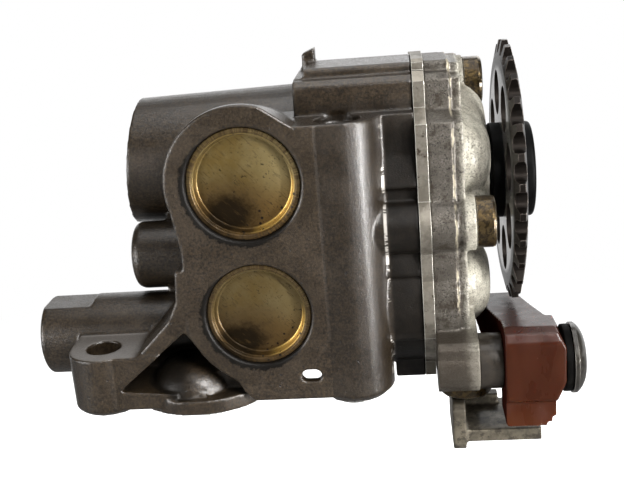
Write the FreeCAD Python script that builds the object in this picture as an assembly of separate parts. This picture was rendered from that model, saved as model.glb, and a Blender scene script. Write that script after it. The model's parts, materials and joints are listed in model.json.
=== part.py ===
import FreeCAD, Part
import math
import os

os.makedirs("parts", exist_ok=True)
V = FreeCAD.Vector
axis_x = V(1, 0, 0)
axis_y = V(0, 1, 0)
axis_z = V(0, 0, 1)

# All sizes are in millimetres. x runs along the drive shaft to the sprocket, z is up from the
# mounting face, and y is measured from the drive shaft, away from the side with the core plugs.
# Each piece is moved at the end, so that the frame's origin is midway between the two front
# mounting holes, on the mounting face.

# Mounting
lug_hole_x = -57.3
column_hole_x = 31.5
front_holes_y = -41.8
rear_hole_x = 34.0
rear_hole_y = 55.0
mounting_hole_r = 6.0
column_mouth_r = 7.5
sleeve_seat_r = 7.5
sleeve_seat_depth = 5.2
lug_r = 12.3
lug_front_r = 10.8
lug_bottom_bevel = 1.8
column_bottom_bevel = 2.6
column_mouth_depth = 3.0
foot_height = 5.2
lug_top = 21.8
rear_lug_top = 20.0
clear_bottom = 3.0

# Shafts and gears
drive_z = 68.0
driven_y = -14.0
gear_module = 3.0
gear_teeth = 13
shaft_r = 8.0
bush_wall = 2.0
bush_length = 10.0
running_gap = 0.05
gear_width = 29.9
gear_pressure_angle = 20.0
gear_backlash = 0.2
gear_end_gap = 0.05
gear_tip_gap = 0.1
root_bevel = 0.7
flank_steps = 5
drive_shaft_end = 97.5

# Layers along the shaft
chamber_start = 17.0
chamber_end = 56.6
top_rib_start = 20.4
top_rib_z = 110.5
tab_start = 19.0
tab_width = 4.6
tab_front_y = -12.0
tab_thickness = 5.5
tab_top = 118.4
plate_thickness = 3.9
cover_flange_thickness = 8.2
cover_tier_thickness = 3.6
pad_height = 3.1
drive_boss_end = 82.3
driven_boss_end = 81.5
driven_dome_r = 16.5
driven_dome_top_r = 5.0

# Chamber outline
front_y = -42.0
shoulder_y = -35.0
shoulder_top = 110.0
rib_y = -29.5
rib_top = 113.5
block_top = 98.5
arc_r = 29.5
bolt_boss_r = 9.5
top_boss_r = 10.0

# Cover bolts: y, z and whether the head stands on the raised pad
cover_bolts = (
    (-38.0, 59.9, True),
    (4.0, 101.0, True),
    (33.0, 99.0, False),
    (37.0, 62.0, False),
    (20.0, 13.5, False),
)
bolt_shank_r = 4.0
bolt_hole_gap = 0.3
bolt_head_r = 8.75
bolt_head_height = 6.7
bolt_thread_depth = 20.0
socket_across_flats = 6.0
socket_depth = 3.6

# Cover dowels: y and z
dowel_places = ((-33.0, 92.0), (33.0, 28.0))
dowel_r = 3.0
dowel_depth = 6.0

# Block with the two core plugs
block_face_y = -51.5
block_back_y = -20.0
recess_wall = 4.0
recess_top = 15.5
window_r = 2.2
window_length = 2.6
upper_plug_z = 80.4
upper_plug_r = 19.0
upper_pad_r = 26.3
lower_plug_x = 1.0
lower_plug_z = 34.9
lower_plug_r = 17.9
lower_pad_r = 24.9
plug_depth = 7.0
plug_wall = 1.6
plug_recess = 1.3
plug_rim_width = 2.1
plug_floor_depth = 4.6
plug_floor_rise = 0.6
column_r = 14.0
column_y = -37.5
discharge_x = -8.0
discharge_y = -34.0
discharge_r = 6.5
discharge_depth = 20.0
discharge_passage_r = 5.6

# Left side cylinders: y, z, radius, left end
suction_y = 15.0
suction_z = 76.6
suction_r = 24.0
suction_bore_r = 19.0
suction_seat_end = -25.5
suction_passage_r = 17.6
suction_end = -50.0
suction_tilt = 6.5
seal_x = -44.0
seal_wire_r = 1.2
seal_groove_gap = 0.1
return_y = -8.0
return_z = 45.0
return_r = 12.7
return_end = -49.8
relief_y = -16.0
relief_z = 17.5
relief_r = 14.8
relief_end = -85.0
relief_bore_r = 9.0
relief_seat_gap = 0.2
relief_feed_r = 6.5
relief_feed_end = -6.0
relief_feed_x = -9.5
relief_spill_x = -31.0
relief_spill_r = 3.0
spill_mouth_r = 4.5
spill_mouth_depth = 5.0

# Relief valve
piston_gap = 0.04
piston_start = -44.0
piston_length = 20.0
piston_wall = 2.4
relief_plug_length = 9.0
spring_seat_r = 6.8
relief_spring_r = 5.6
relief_wire_r = 0.9
relief_coils = 7

# Sprocket and hub
sprocket_x = 88.0
sprocket_thickness = 4.6
sprocket_teeth = 30
chain_pitch = 9.525
roller_r = 3.2
sprocket_tip_r = 47.3
sprocket_tip_chamfer = 1.3
sprocket_hole_r = 8.2
sprocket_hole_circle_r = 28.6
sprocket_holes = 8
sprocket_first_hole = 29.5
hub_r = 17.4
hub_spigot_r = 12.5
hub_start = 83.2
collar_end = 98.9
key_width = 4.0
key_length = 12.0
gear_key_inset = 8.0
hub_key_gap = 1.4
key_play = 1.0

# Tensioner
pivot_y = -42.0
pivot_z = 10.7
pin_r = 5.0
pin_thread_r = 4.0
pin_head_r = 12.2
pin_head_start = 105.9
pin_head_height = 4.6
washer_r = 11.6
washer_thickness = 2.9
sleeve_r = 9.65
arm_start = 82.85
arm_end = 102.9
arm_side_gap = 0.15
arm_skew = 0.155
arm_boss_gap = 0.5
arm_tip_y = 8.0
spring_room_r = 8.4
spring_room_start = 3.4
spring_room_end = 4.6
torsion_coil_r = 6.8
torsion_wire_r = 0.9
torsion_coils = 4
coil_steps = 18
wire_sides = 8
lug_end = 74.7
lug_front_y = -51.0
lug_low_z = 3.5
lug_high_z = 20.6
bracket_thickness = 4.6
bracket_low_z = -19.2
bracket_front_y = -45.0
bracket_back_y = -20.0
bracket_end = 95.8
bracket_bolt_x = 70.6
bracket_bolt_y = -33.0
bracket_bolt_r = 3.0
bracket_bolt_head_r = 9.2
bracket_bolt_head_height = 5.4
bracket_bolt_top = 15.5
tongue_low_z = 0.8

# Worked out from the sizes above
centre_distance = gear_module * gear_teeth
driven_z = drive_z - math.sqrt(centre_distance ** 2 - driven_y ** 2)
gear_tip_r = gear_module * (gear_teeth + 2) / 2 - 0.05
pocket_r = gear_tip_r + gear_tip_gap
pocket_start = chamber_end - gear_width - 2 * gear_end_gap
bush_r = shaft_r + bush_wall
plate_end = chamber_end + plate_thickness
flange_end = plate_end + cover_flange_thickness
tier_end = flange_end + cover_tier_thickness
pad_end = tier_end + pad_height
origin_x = (lug_hole_x + column_hole_x) / 2


def cylinder_x(start, end, y, z, radius):
    return Part.makeCylinder(radius, end - start, V(start, y, z), axis_x)


def cylinder_y(start, end, x, z, radius):
    return Part.makeCylinder(radius, end - start, V(x, start, z), axis_y)


def cylinder_z(start, end, x, y, radius):
    return Part.makeCylinder(radius, end - start, V(x, y, start), axis_z)


def tube_x(start, end, y, z, outer, inner):
    return cylinder_x(start, end, y, z, outer).cut(cylinder_x(start, end, y, z, inner))


def block(x0, x1, y0, y1, z0, z1):
    return Part.makeBox(x1 - x0, y1 - y0, z1 - z0, V(x0, y0, z0))


def prism_x(points, start, end):
    """Extrudes a list of (y, z) points along the shaft."""
    corners = [V(start, y, z) for y, z in points]
    return Part.Face(Part.makePolygon(corners + corners[:1])).extrude(V(end - start, 0, 0))


def prism_y(points, start, end):
    """Extrudes a list of (x, z) points away from the plug side."""
    corners = [V(x, start, z) for x, z in points]
    return Part.Face(Part.makePolygon(corners + corners[:1])).extrude(V(0, end - start, 0))


def prism_z(points, start, end):
    """Extrudes a list of (x, y) points upwards."""
    corners = [V(x, y, start) for x, y in points]
    return Part.Face(Part.makePolygon(corners + corners[:1])).extrude(V(0, 0, end - start))


def turned(profile, origin, axis, radial):
    """Turns a list of (along, radius) points about an axis through origin."""
    corners = [origin + axis * along + radial * radius for along, radius in profile]
    face = Part.Face(Part.makePolygon(corners + corners[:1]))
    return face.revolve(origin, axis, 360)


def fused(shapes):
    whole = shapes[0].multiFuse(shapes[1:])
    return whole.removeSplitter()


def bolt_seat(raised):
    return pad_end if raised else flange_end


def back_outline(grow):
    """The chamber's outline on the side away from the plugs, round the bolt bosses."""
    return [
        (-8, 108), (4, 110 + grow), (33, 108 + grow), (42 + grow, 99), (46 + grow, 62),
        (40 + grow, 45), (29 + grow, 14), (20, 4.5 - grow), (-14, 4), (-30, 40),
    ]


def layer(start, end, grow, front):
    """One slice of the chamber's outline, its walls moved out by grow."""
    shoulder = [
        (shoulder_y - grow, 60), (shoulder_y - grow, shoulder_top - 2), (shoulder_y + 2, shoulder_top + grow),
        (rib_y - grow, shoulder_top + grow), (rib_y - grow, rib_top - 1 + grow), (rib_y + 1, rib_top + grow),
        (-8, rib_top + grow), (-4, 108), (0, 60),
    ]
    pieces = [
        prism_x(front, start, end),
        prism_x(shoulder, start, end),
        prism_x(back_outline(grow), start, end),
        cylinder_x(start, end, 0, drive_z, arc_r + grow),
        cylinder_x(start, end, driven_y, driven_z, arc_r + grow),
    ]
    for y, z, raised in cover_bolts:
        radius = top_boss_r if z > block_top and raised else bolt_boss_r
        pieces.append(cylinder_x(start, end, y, z, radius + grow))
    return fused(pieces)


def plain_front(grow):
    """Front wall of the plate and the cover, as (y, z) points."""
    wall = front_y - grow
    return [(wall, 20), (wall, 95), (shoulder_y - grow, block_top + grow), (0, block_top), (0, 20)]


def ribbed_front():
    """Front wall of the chamber, with the shallow ledges of the casting."""
    return [
        (-40.5, 20), (-42.3, 19), (-40.8, 29.5), (-42.6, 30.5), (-40.8, 42.2), (-42.8, 43.2), (-40.4, 52.5),
        (-40.4, 73), (-42.6, 74.2), (-39.8, 85), (-39.8, block_top), (0, block_top), (0, 20),
    ]


def cover_bolt_cutters(start, end, gap):
    return [cylinder_x(start, end, y, z, bolt_shank_r + gap) for y, z, raised in cover_bolts]


def foot_post(x, y, radius, bevel, top):
    """Upright round post whose bottom edge is bevelled down to the mounting face."""
    profile = [(0, 0), (0, radius - bevel), (bevel, radius), (top, radius), (top, 0)]
    return turned(profile, V(x, y, 0), axis_z, axis_x)


def front_block():
    """The flat-faced block that holds the core plugs, with its bolt column."""
    pieces = []
    for x, z, radius in ((0, upper_plug_z, upper_pad_r), (lower_plug_x, lower_plug_z, lower_pad_r)):
        pieces.append(cylinder_y(block_face_y, block_face_y + 3, x, z, radius))
        pieces.append(Part.makeCone(radius, radius - 6, 32, V(x, block_face_y + 3, z), axis_y))
    # The upper pad's arc runs down to the column in a straight slope
    slope = prism_y([(7.5, 105.75), (17.9, block_top), (27, block_top), (27, 112), (7.5, 112)],
                    block_face_y - 1, front_y)
    pieces = [piece.cut(slope) for piece in pieces]
    pieces.append(prism_y(
        [(-25.6, 76), (-22.9, 58), (-23.2, 52), (-25, 36), (-24.4, 29), (-20.4, 22.5), (-15, 15.6),
         (-8.5, 10.5), (-6, 6), (-3, clear_bottom), (column_hole_x, clear_bottom),
         (column_hole_x, block_top), (19, block_top), (0, 98)],
        block_face_y, block_back_y,
    ))
    pieces.append(block(19, column_hole_x + column_r - 1, column_y, block_back_y, clear_bottom, block_top))
    pieces.append(foot_post(column_hole_x, column_y, column_r, column_bottom_bevel, block_top))
    return pieces


def left_cylinders():
    """Suction, return and relief cylinders, which run along the shaft."""
    suction = Part.makeCone(suction_r, suction_r + 2.2, chamber_start + 8 - suction_end + 8,
                            V(suction_end - 8, suction_y, suction_z), axis_x)
    slope = math.tan(math.radians(suction_tilt)) * 40
    keep = prism_y(
        [(suction_end - slope, suction_z - 40), (chamber_start, suction_z - 40),
         (chamber_start, suction_z + 40), (suction_end + slope, suction_z + 40)],
        suction_y - 40, suction_y + 40,
    )
    relief = cylinder_x(relief_end, chamber_start, relief_y, relief_z, relief_r)
    flat = block(relief_end - 1, relief_end + 19, -60, 10, relief_z + relief_r - 1.9, 40)
    relief_chamfer = turned([(0, relief_r - 1), (0, relief_r + 3), (3, relief_r + 3)],
                            V(relief_end, relief_y, relief_z), axis_x, axis_z)
    return_rounding = turned(
        [(0, return_r - 2.6), (0, return_r + 1), (2.6, return_r + 1), (2.6, return_r), (0.8, return_r - 0.8)],
        V(return_end, return_y, return_z), axis_x, axis_z,
    )
    return [
        suction.common(keep),
        cylinder_x(return_end, chamber_start, return_y, return_z, return_r).cut(return_rounding),
        relief.cut(flat).cut(relief_chamfer),
        block(-24, chamber_start, -32, 12, 12, 60),
        block(-24, chamber_start, -32, 8, 58, 94),
        prism_x([(-16, 30), (8, 40), (34, 60), (10, 70), (-16, 50)], -38, chamber_start),
    ]


def outlet_dome():
    """Rounded boss in the pocket behind the web, where the outlet's gallery turns."""
    centre = V(-27, -37, 0)
    foot = centre + V(15.5, 0, foot_height - 1)
    middle = centre + V(12, 0, 11.5)
    top = centre + V(4, 0, 15)
    rest = Part.makePolygon([top, centre + V(0, 0, 15), centre + V(0, 0, foot_height - 1), foot])
    arc = Part.Arc(foot, middle, top).toShape()
    return Part.Face(Part.Wire([arc] + rest.Edges)).revolve(centre, axis_z, 360)


def mounting_feet():
    """Left lug with its rib, the flange round the outlet, and the rear lug."""
    lug = fused([
        foot_post(lug_hole_x, front_holes_y, lug_r, lug_bottom_bevel, lug_top),
        block(lug_hole_x, -30, front_holes_y - lug_front_r, -20, lug_bottom_bevel, lug_top),
        block(lug_hole_x - lug_r, -30, front_holes_y, -20, 0, lug_top),
    ])
    pocket = prism_y(
        [(-50.5, 8.9), (-25.4, 29.8), (-20.4, 22.5), (-15, 15.6), (-8.5, 10.5), (-8.5, foot_height)],
        -60, -30,
    )
    rib = prism_y(
        [(-43, foot_height), (-43, lug_top), (-40.5, 24), (-30.5, 34), (-27, 41), (-26, 52),
         (-20, 52), (-20, foot_height)],
        block_face_y, -22,
    )
    flange = cylinder_z(0, foot_height, -24, -29, 26)
    flange_rest = block(-43, -6, -47.5, -12, 0, foot_height)
    rear_lug = fused([
        cylinder_z(0, rear_lug_top, rear_hole_x, rear_hole_y, 12),
        block(rear_hole_x - 12, rear_hole_x + 12, 12, rear_hole_y, 0, rear_lug_top),
    ])
    return [
        fused([lug, rib]).cut(pocket), flange, flange_rest, outlet_dome(), rear_lug,
        block(-16.5, column_hole_x, -44, -18, clear_bottom, 12),
        block(46, chamber_end, -30, -10, 0.2, 14),
    ]


def plug_lead_in(x, z, radius):
    size = 0.7
    return Part.makeCone(radius + size, radius, size, V(x, block_face_y, z), axis_y)


def recess_window(x, z):
    """Oblong hole through the recess's front wall."""
    start = block_face_y - 1
    end = block_face_y + recess_wall + 1
    middle = block(x, x + window_length, start, end, z - window_r, z + window_r)
    ends = [cylinder_y(start, end, x, z, window_r), cylinder_y(start, end, x + window_length, z, window_r)]
    return fused([middle] + ends)


def housing_passages():
    """Everything cut out of the housing."""
    cuts = [
        cylinder_x(pocket_start, chamber_end + 1, 0, drive_z, pocket_r),
        cylinder_x(pocket_start, chamber_end + 1, driven_y, driven_z, pocket_r),
        cylinder_x(pocket_start - bush_length, pocket_start + 1, 0, drive_z, bush_r),
        cylinder_x(pocket_start - bush_length, pocket_start + 1, driven_y, driven_z, bush_r),
        # Plug seats with a small lead-in, and the galleries behind the plugs
        cylinder_y(block_face_y - 1, block_face_y + 10, 0, upper_plug_z, upper_plug_r),
        cylinder_y(block_face_y - 1, block_face_y + 10, lower_plug_x, lower_plug_z, lower_plug_r),
        plug_lead_in(0, upper_plug_z, upper_plug_r),
        plug_lead_in(lower_plug_x, lower_plug_z, lower_plug_r),
        cylinder_y(block_face_y, -22, 0, upper_plug_z, 16.5),
        cylinder_y(block_face_y, -19, lower_plug_x, lower_plug_z, 15),
        cylinder_y(-30, suction_y, -8, upper_plug_z, 8),
        # Suction bore, and its way into the pocket behind the mesh
        cylinder_x(suction_end - 20, suction_seat_end, suction_y, suction_z, suction_bore_r),
        cylinder_x(suction_end, 12, suction_y, suction_z, suction_passage_r),
        cylinder_x(seal_x - seal_wire_r - seal_groove_gap, seal_x + seal_wire_r + seal_groove_gap,
                   suction_y, suction_z, suction_bore_r + 2 * seal_wire_r + seal_groove_gap),
        cylinder_x(0, chamber_end - 6, 17, 62, 7.5),
        # Outlet gallery from the pocket, the outlet itself and the relief feed
        cylinder_x(5, chamber_end - 6, -31.5, 48, 6),
        cylinder_z(-1, discharge_depth, discharge_x, discharge_y, discharge_r),
        cylinder_z(0, 30, discharge_x, discharge_y, discharge_passage_r),
        cylinder_z(relief_z, 30, relief_feed_x, -21.5, 2.5),
        cylinder_x(relief_end - 1, piston_start + piston_length + relief_seat_gap, relief_y, relief_z,
                   relief_bore_r),
        cylinder_x(piston_start, relief_feed_end, relief_y, relief_z, relief_feed_r),
        cylinder_z(-1, relief_z, relief_spill_x, relief_y, relief_spill_r),
        cylinder_z(-1, spill_mouth_depth, relief_spill_x, relief_y, spill_mouth_r),
        # Mounting holes, the front two with seats for the dowel sleeves
        cylinder_z(-1, sleeve_seat_depth, lug_hole_x, front_holes_y, sleeve_seat_r),
        cylinder_z(-1, sleeve_seat_depth, column_hole_x, front_holes_y, sleeve_seat_r),
        cylinder_z(-1, lug_top + 1, lug_hole_x, front_holes_y, mounting_hole_r),
        cylinder_z(-1, block_top + 1, column_hole_x, front_holes_y, mounting_hole_r),
        cylinder_z(block_top - column_mouth_depth, block_top + 1, column_hole_x, front_holes_y,
                   column_mouth_r),
        cylinder_z(-1, rear_lug_top + 1, rear_hole_x, rear_hole_y, mounting_hole_r),
        # Recess under the block, seen through the small window in its wall
        block(3, 24, block_face_y + recess_wall, -16, -1, recess_top),
        recess_window(16.0, 11.7),
    ]
    cuts += cover_bolt_cutters(chamber_end - bolt_thread_depth, chamber_end + 1, 0)
    cuts += [cylinder_x(chamber_end - dowel_depth, chamber_end + 1, y, z, dowel_r) for y, z in dowel_places]
    return cuts


def lifting_tab():
    """Small cast tab on the top rib: its top rises to the right, and its foot spreads both ways."""
    end = tab_start + tab_width
    root = top_rib_z - 2
    left = Part.Arc(V(tab_start - 1.8, 0, root), V(tab_start - 0.5, 0, top_rib_z + 0.6),
                    V(tab_start, 0, top_rib_z + 3)).toShape()
    top = Part.makePolygon([V(tab_start, 0, top_rib_z + 3), V(tab_start, 0, tab_top - 2.2),
                            V(tab_start + 0.5, 0, tab_top - 1.7), V(end, 0, tab_top),
                            V(end, 0, top_rib_z + 2)])
    right = Part.Arc(V(end, 0, top_rib_z + 2), V(end + 0.4, 0, top_rib_z + 0.4),
                     V(end + 1.8, 0, root)).toShape()
    base = Part.makeLine(V(end + 1.8, 0, root), V(tab_start - 1.8, 0, root))
    wire = Part.Wire([left] + top.Edges + [right, base])
    tab = Part.Face(wire).extrude(V(0, tab_thickness, 0))
    tab.translate(V(0, tab_front_y, 0))
    return tab


def make_pump_housing():
    chamber = layer(chamber_start, chamber_end, 0, ribbed_front())
    # The top rib starts a little further along than the chamber
    corner = prism_y(
        [(chamber_start - 1, top_rib_z), (top_rib_start, top_rib_z), (top_rib_start + 1, tab_top + 2),
         (chamber_start - 1, tab_top + 2)],
        block_face_y - 10, rear_hole_y + 20)
    body = fused([chamber.cut(corner), lifting_tab()] + front_block() + left_cylinders() + mounting_feet())
    for cutter in housing_passages():
        body = body.cut(cutter)
    return body.removeSplitter()


def make_port_plate():
    plate = layer(chamber_end, plate_end, 0.9, plain_front(0.9))
    plate = plate.fuse(block(chamber_end, plate_end, -30, -10, 0.5, 14)).removeSplitter()
    cuts = cover_bolt_cutters(chamber_end - 1, plate_end + 1, bolt_hole_gap)
    cuts.append(cylinder_x(chamber_end - 1, plate_end + 1, 0, drive_z, shaft_r + 0.3))
    cuts.append(cylinder_x(chamber_end - 1, plate_end + 1, driven_y, driven_z, shaft_r + 0.3))
    cuts += [cylinder_x(chamber_end - 1, plate_end + 1, y, z, dowel_r) for y, z in dowel_places]
    for cutter in cuts:
        plate = plate.cut(cutter)
    return plate


def dome(y, z, foot_r, top_r, top_x):
    """A rounded bearing boss that rises from the cover's outer tier."""
    low = V(tier_end - 0.5, y, z + foot_r)
    middle = V(tier_end + 0.72 * (top_x - tier_end), y, z + foot_r - 0.35 * (foot_r - top_r))
    high = V(top_x, y, z + top_r)
    curve = Part.Arc(low, middle, high).toShape()
    rest = Part.makePolygon([high, V(top_x, y, z), V(tier_end - 0.5, y, z), low])
    return Part.Face(Part.Wire([curve] + rest.Edges)).revolve(V(0, y, z), axis_x, 360)


def driven_dome(grow):
    return dome(driven_y, driven_z, driven_dome_r + grow, driven_dome_top_r + grow, driven_boss_end + grow)


def tensioner_lug():
    """Boss on the cover that carries the tensioner's pivot pin and its bracket."""
    outline = [
        (lug_front_y, lug_low_z + 2), (lug_front_y, lug_high_z - 2), (lug_front_y + 2, lug_high_z),
        (-26, lug_high_z + 6), (-26, lug_low_z), (lug_front_y + 2, lug_low_z),
    ]
    lug = prism_x(outline, plate_end, lug_end)
    return lug.fuse(cylinder_x(plate_end, lug_end, pivot_y, pivot_z, 10.2))


def make_front_cover():
    flange = layer(plate_end, flange_end, 0, plain_front(0))
    tier = layer(flange_end, tier_end, -1.1, plain_front(-1.1))
    pieces = [flange, tier, tensioner_lug()]
    pieces.append(dome(2, drive_z + 2.5, 33, 19, drive_boss_end))
    pieces.append(dome(-20, 79, 15, 5, drive_boss_end))
    pieces.append(driven_dome(0))
    for y, z, raised in cover_bolts:
        if raised:
            pieces.append(cylinder_x(tier_end - 1, pad_end, y, z, bolt_boss_r))
    cover = fused(pieces)
    cuts = cover_bolt_cutters(plate_end - 1, pad_end + 1, bolt_hole_gap)
    for y, z, raised in cover_bolts:
        cuts.append(cylinder_x(bolt_seat(raised), pad_end + 14, y, z, bolt_head_r + 0.4))
    cuts.append(cylinder_x(plate_end - 1, drive_boss_end + 1, 0, drive_z, shaft_r + 0.3))
    cuts.append(cylinder_x(plate_end - 1, plate_end + bush_length, 0, drive_z, bush_r))
    cuts.append(cylinder_x(plate_end - 1, plate_end + bush_length, driven_y, driven_z, bush_r))
    cuts.append(cylinder_x(plate_end, lug_end + 1, pivot_y, pivot_z, pin_thread_r))
    cuts.append(block(plate_end + 4, lug_end + 1, -44, bracket_back_y + 1, 0,
                      tongue_low_z + bracket_thickness))
    cuts.append(cylinder_z(0, bracket_bolt_top + 0.5, bracket_bolt_x, bracket_bolt_y, bracket_bolt_r))
    cuts += [cylinder_x(plate_end - 1, plate_end + dowel_depth, y, z, dowel_r) for y, z in dowel_places]
    for cutter in cuts:
        cover = cover.cut(cutter)
    return cover.removeSplitter()


def hex_cutter(start, end, y, z):
    radius = socket_across_flats / math.sqrt(3)
    corners = [(y + radius * math.cos(math.radians(60 * i)), z + radius * math.sin(math.radians(60 * i)))
               for i in range(6)]
    return prism_x(corners, start, end)


def make_cover_bolt(y, z, raised):
    seat = bolt_seat(raised)
    top = seat + bolt_head_height
    tip = chamber_end - bolt_thread_depth + 2
    profile = [
        (tip, 0), (tip, bolt_shank_r - 1), (tip + 1, bolt_shank_r), (seat, bolt_shank_r),
        (seat, bolt_head_r - 0.3), (seat + 0.3, bolt_head_r), (top - 1.2, bolt_head_r),
        (top - 0.35, bolt_head_r - 0.35), (top, bolt_head_r - 1.2), (top, 0),
    ]
    bolt = turned(profile, V(0, y, z), axis_x, axis_z)
    return bolt.cut(hex_cutter(top - socket_depth, top + 1, y, z))


def make_cover_bolts():
    return Part.makeCompound([make_cover_bolt(y, z, raised) for y, z, raised in cover_bolts])


def make_cover_dowels():
    pins = [cylinder_x(chamber_end - dowel_depth + 0.2, plate_end + dowel_depth - 0.2, y, z, dowel_r)
            for y, z in dowel_places]
    return Part.makeCompound(pins)


def make_core_plug(x, z, radius):
    """A pressed cup, open to the outside, with a rolled rim, a steep wall and a slightly domed floor."""
    rim = block_face_y + plug_recess
    floor = rim + plug_floor_depth
    dome = floor - plug_floor_rise
    wall_r = radius - plug_rim_width
    profile = [
        (rim + 0.6, radius), (rim, radius - 0.6), (rim, wall_r),
        (floor - 1.5, wall_r - 0.8), (floor - 0.4, wall_r - 1.3), (floor, wall_r - 2.4),
        (dome, radius * 0.45), (dome, 0), (dome + plug_wall, 0), (dome + plug_wall, radius * 0.45),
        (floor + plug_wall, radius - 3), (rim + plug_depth, radius - 0.8), (rim + plug_depth - 0.8, radius),
    ]
    return turned(profile, V(x, 0, z), axis_y, axis_z)


def gear_outline(y, z, x, phase):
    """Closed outline of involute teeth: each flank is an involute above the base circle, and
    runs straight down from there to a bevel at the root."""
    root_r = gear_module * (gear_teeth - 2.5) / 2
    pitch_r = gear_module * gear_teeth / 2
    base_r = pitch_r * math.cos(math.radians(gear_pressure_angle))

    def involute(radius):
        slant = math.acos(min(1, base_r / radius))
        return math.tan(slant) - slant

    at_pitch = math.pi / (2 * gear_teeth) - gear_backlash / (4 * pitch_r)
    at_base = at_pitch + involute(pitch_r)
    flank = [(root_r, at_base + root_bevel / root_r), (root_r + root_bevel, at_base)]
    for i in range(flank_steps + 1):
        radius = base_r + (gear_tip_r - base_r) * i / flank_steps
        flank.append((radius, at_base - involute(radius)))
    corners = []
    for tooth in range(gear_teeth):
        middle = phase + tooth * 2 * math.pi / gear_teeth
        rising = [(radius, middle - half) for radius, half in flank]
        falling = [(radius, middle + half) for radius, half in reversed(flank)]
        for radius, angle in rising + falling:
            corners.append(V(x, y + radius * math.cos(angle), z + radius * math.sin(angle)))
    return Part.Face(Part.makePolygon(corners + corners[:1]))


def make_gear(y, z, phase):
    start = pocket_start + gear_end_gap
    gear = gear_outline(y, z, start, phase).extrude(V(gear_width, 0, 0))
    return gear.cut(cylinder_x(start - 1, start + gear_width + 1, y, z, shaft_r))


def key_box(start, length, y, z):
    """A key in the top of a shaft, half in the shaft and half in what it drives."""
    half = key_width / 2
    return block(start, start + length, y - half, y + half, z + shaft_r - 1.8, z + shaft_r + 1.8)


def make_hub_key(play):
    """The hub's key, or with some play at its start the slot that the hub slides on by."""
    length = sprocket_x + sprocket_thickness - hub_key_gap - hub_start
    return key_box(hub_start - play, length + play, 0, drive_z)


def make_drive_shaft():
    start = pocket_start - bush_length + 0.3
    shaft = turned(
        [(start, 0), (start, shaft_r - 1), (start + 1, shaft_r), (drive_shaft_end - 1, shaft_r),
         (drive_shaft_end, shaft_r - 1), (drive_shaft_end, 0)],
        V(0, 0, drive_z), axis_x, axis_z,
    )
    shaft = shaft.cut(make_hub_key(0))
    return shaft.cut(key_box(pocket_start + gear_key_inset, key_length, 0, drive_z))


def make_driven_shaft():
    start = pocket_start - bush_length + 0.3
    end = plate_end + bush_length - 0.3
    shaft = turned(
        [(start, 0), (start, shaft_r - 1), (start + 1, shaft_r), (end - 1, shaft_r), (end, shaft_r - 1),
         (end, 0)],
        V(0, driven_y, driven_z), axis_x, axis_z,
    )
    return shaft.cut(key_box(pocket_start + gear_key_inset, key_length, driven_y, driven_z))


def make_bush(start, y, z):
    return tube_x(start, start + bush_length, y, z, bush_r, shaft_r + running_gap)


def sprocket_face():
    """Outline of the roller-chain teeth: seat arcs joined by straight flanks to the tips."""
    pitch_r = chain_pitch / (2 * math.sin(math.pi / sprocket_teeth))
    seat_half = math.radians(58)
    tip_half = 0.13 * 2 * math.pi / sprocket_teeth
    edges = []
    step = 2 * math.pi / sprocket_teeth

    def at(radius, angle):
        return V(sprocket_x, radius * math.cos(angle), drive_z + radius * math.sin(angle))

    def seat_point(angle, turn):
        # turn is measured at the roller's centre, from the line to the shaft
        out = math.pi + angle + turn
        centre = at(pitch_r, angle)
        return V(sprocket_x, centre.y + roller_r * math.cos(out), centre.z + roller_r * math.sin(out))

    for tooth in range(sprocket_teeth):
        angle = tooth * step
        first = seat_point(angle, seat_half)
        bottom = seat_point(angle, 0)
        last = seat_point(angle, -seat_half)
        tip_start = at(sprocket_tip_r, angle + step / 2 - tip_half)
        tip_end = at(sprocket_tip_r, angle + step / 2 + tip_half)
        next_first = seat_point(angle + step, seat_half)
        edges.append(Part.Arc(first, bottom, last).toShape())
        edges.append(Part.makeLine(last, tip_start))
        edges.append(Part.makeLine(tip_start, tip_end))
        edges.append(Part.makeLine(tip_end, next_first))
    return Part.Face(Part.Wire(edges))


def make_drive_sprocket():
    wheel = sprocket_face().extrude(V(sprocket_thickness, 0, 0))
    centre = V(0, 0, drive_z)
    start = sprocket_x
    end = sprocket_x + sprocket_thickness
    slope = 5.5
    disc = turned(
        [(start, 0), (start, sprocket_tip_r - slope), (start + sprocket_tip_chamfer, sprocket_tip_r + 0.01),
         (end - sprocket_tip_chamfer, sprocket_tip_r + 0.01), (end, sprocket_tip_r - slope), (end, 0)],
        centre, axis_x, axis_z,
    )
    wheel = wheel.common(disc)
    wheel = wheel.cut(cylinder_x(start - 1, end + 1, 0, drive_z, hub_spigot_r))
    for i in range(sprocket_holes):
        angle = math.radians(90 + sprocket_first_hole + i * 360 / sprocket_holes)
        y = sprocket_hole_circle_r * math.cos(angle)
        z = drive_z + sprocket_hole_circle_r * math.sin(angle)
        wheel = wheel.cut(cylinder_x(start - 1, end + 1, y, z, sprocket_hole_r))
    return wheel


def make_sprocket_hub():
    spigot_end = sprocket_x + sprocket_thickness
    profile = [
        (hub_start, shaft_r), (hub_start, hub_r - 1), (hub_start + 1, hub_r), (sprocket_x, hub_r),
        (sprocket_x, hub_spigot_r), (spigot_end, hub_spigot_r), (spigot_end, shaft_r),
    ]
    hub = turned(profile, V(0, 0, drive_z), axis_x, axis_z)
    return hub.cut(make_hub_key(key_play))


def make_hub_collar():
    start = sprocket_x + sprocket_thickness
    profile = [
        (start, shaft_r), (start, hub_r), (collar_end - 1.2, hub_r), (collar_end - 0.35, hub_r - 0.35),
        (collar_end, hub_r - 1.2), (collar_end, 0), (drive_shaft_end, 0), (drive_shaft_end, shaft_r),
    ]
    return turned(profile, V(0, 0, drive_z), axis_x, axis_z)


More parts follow.
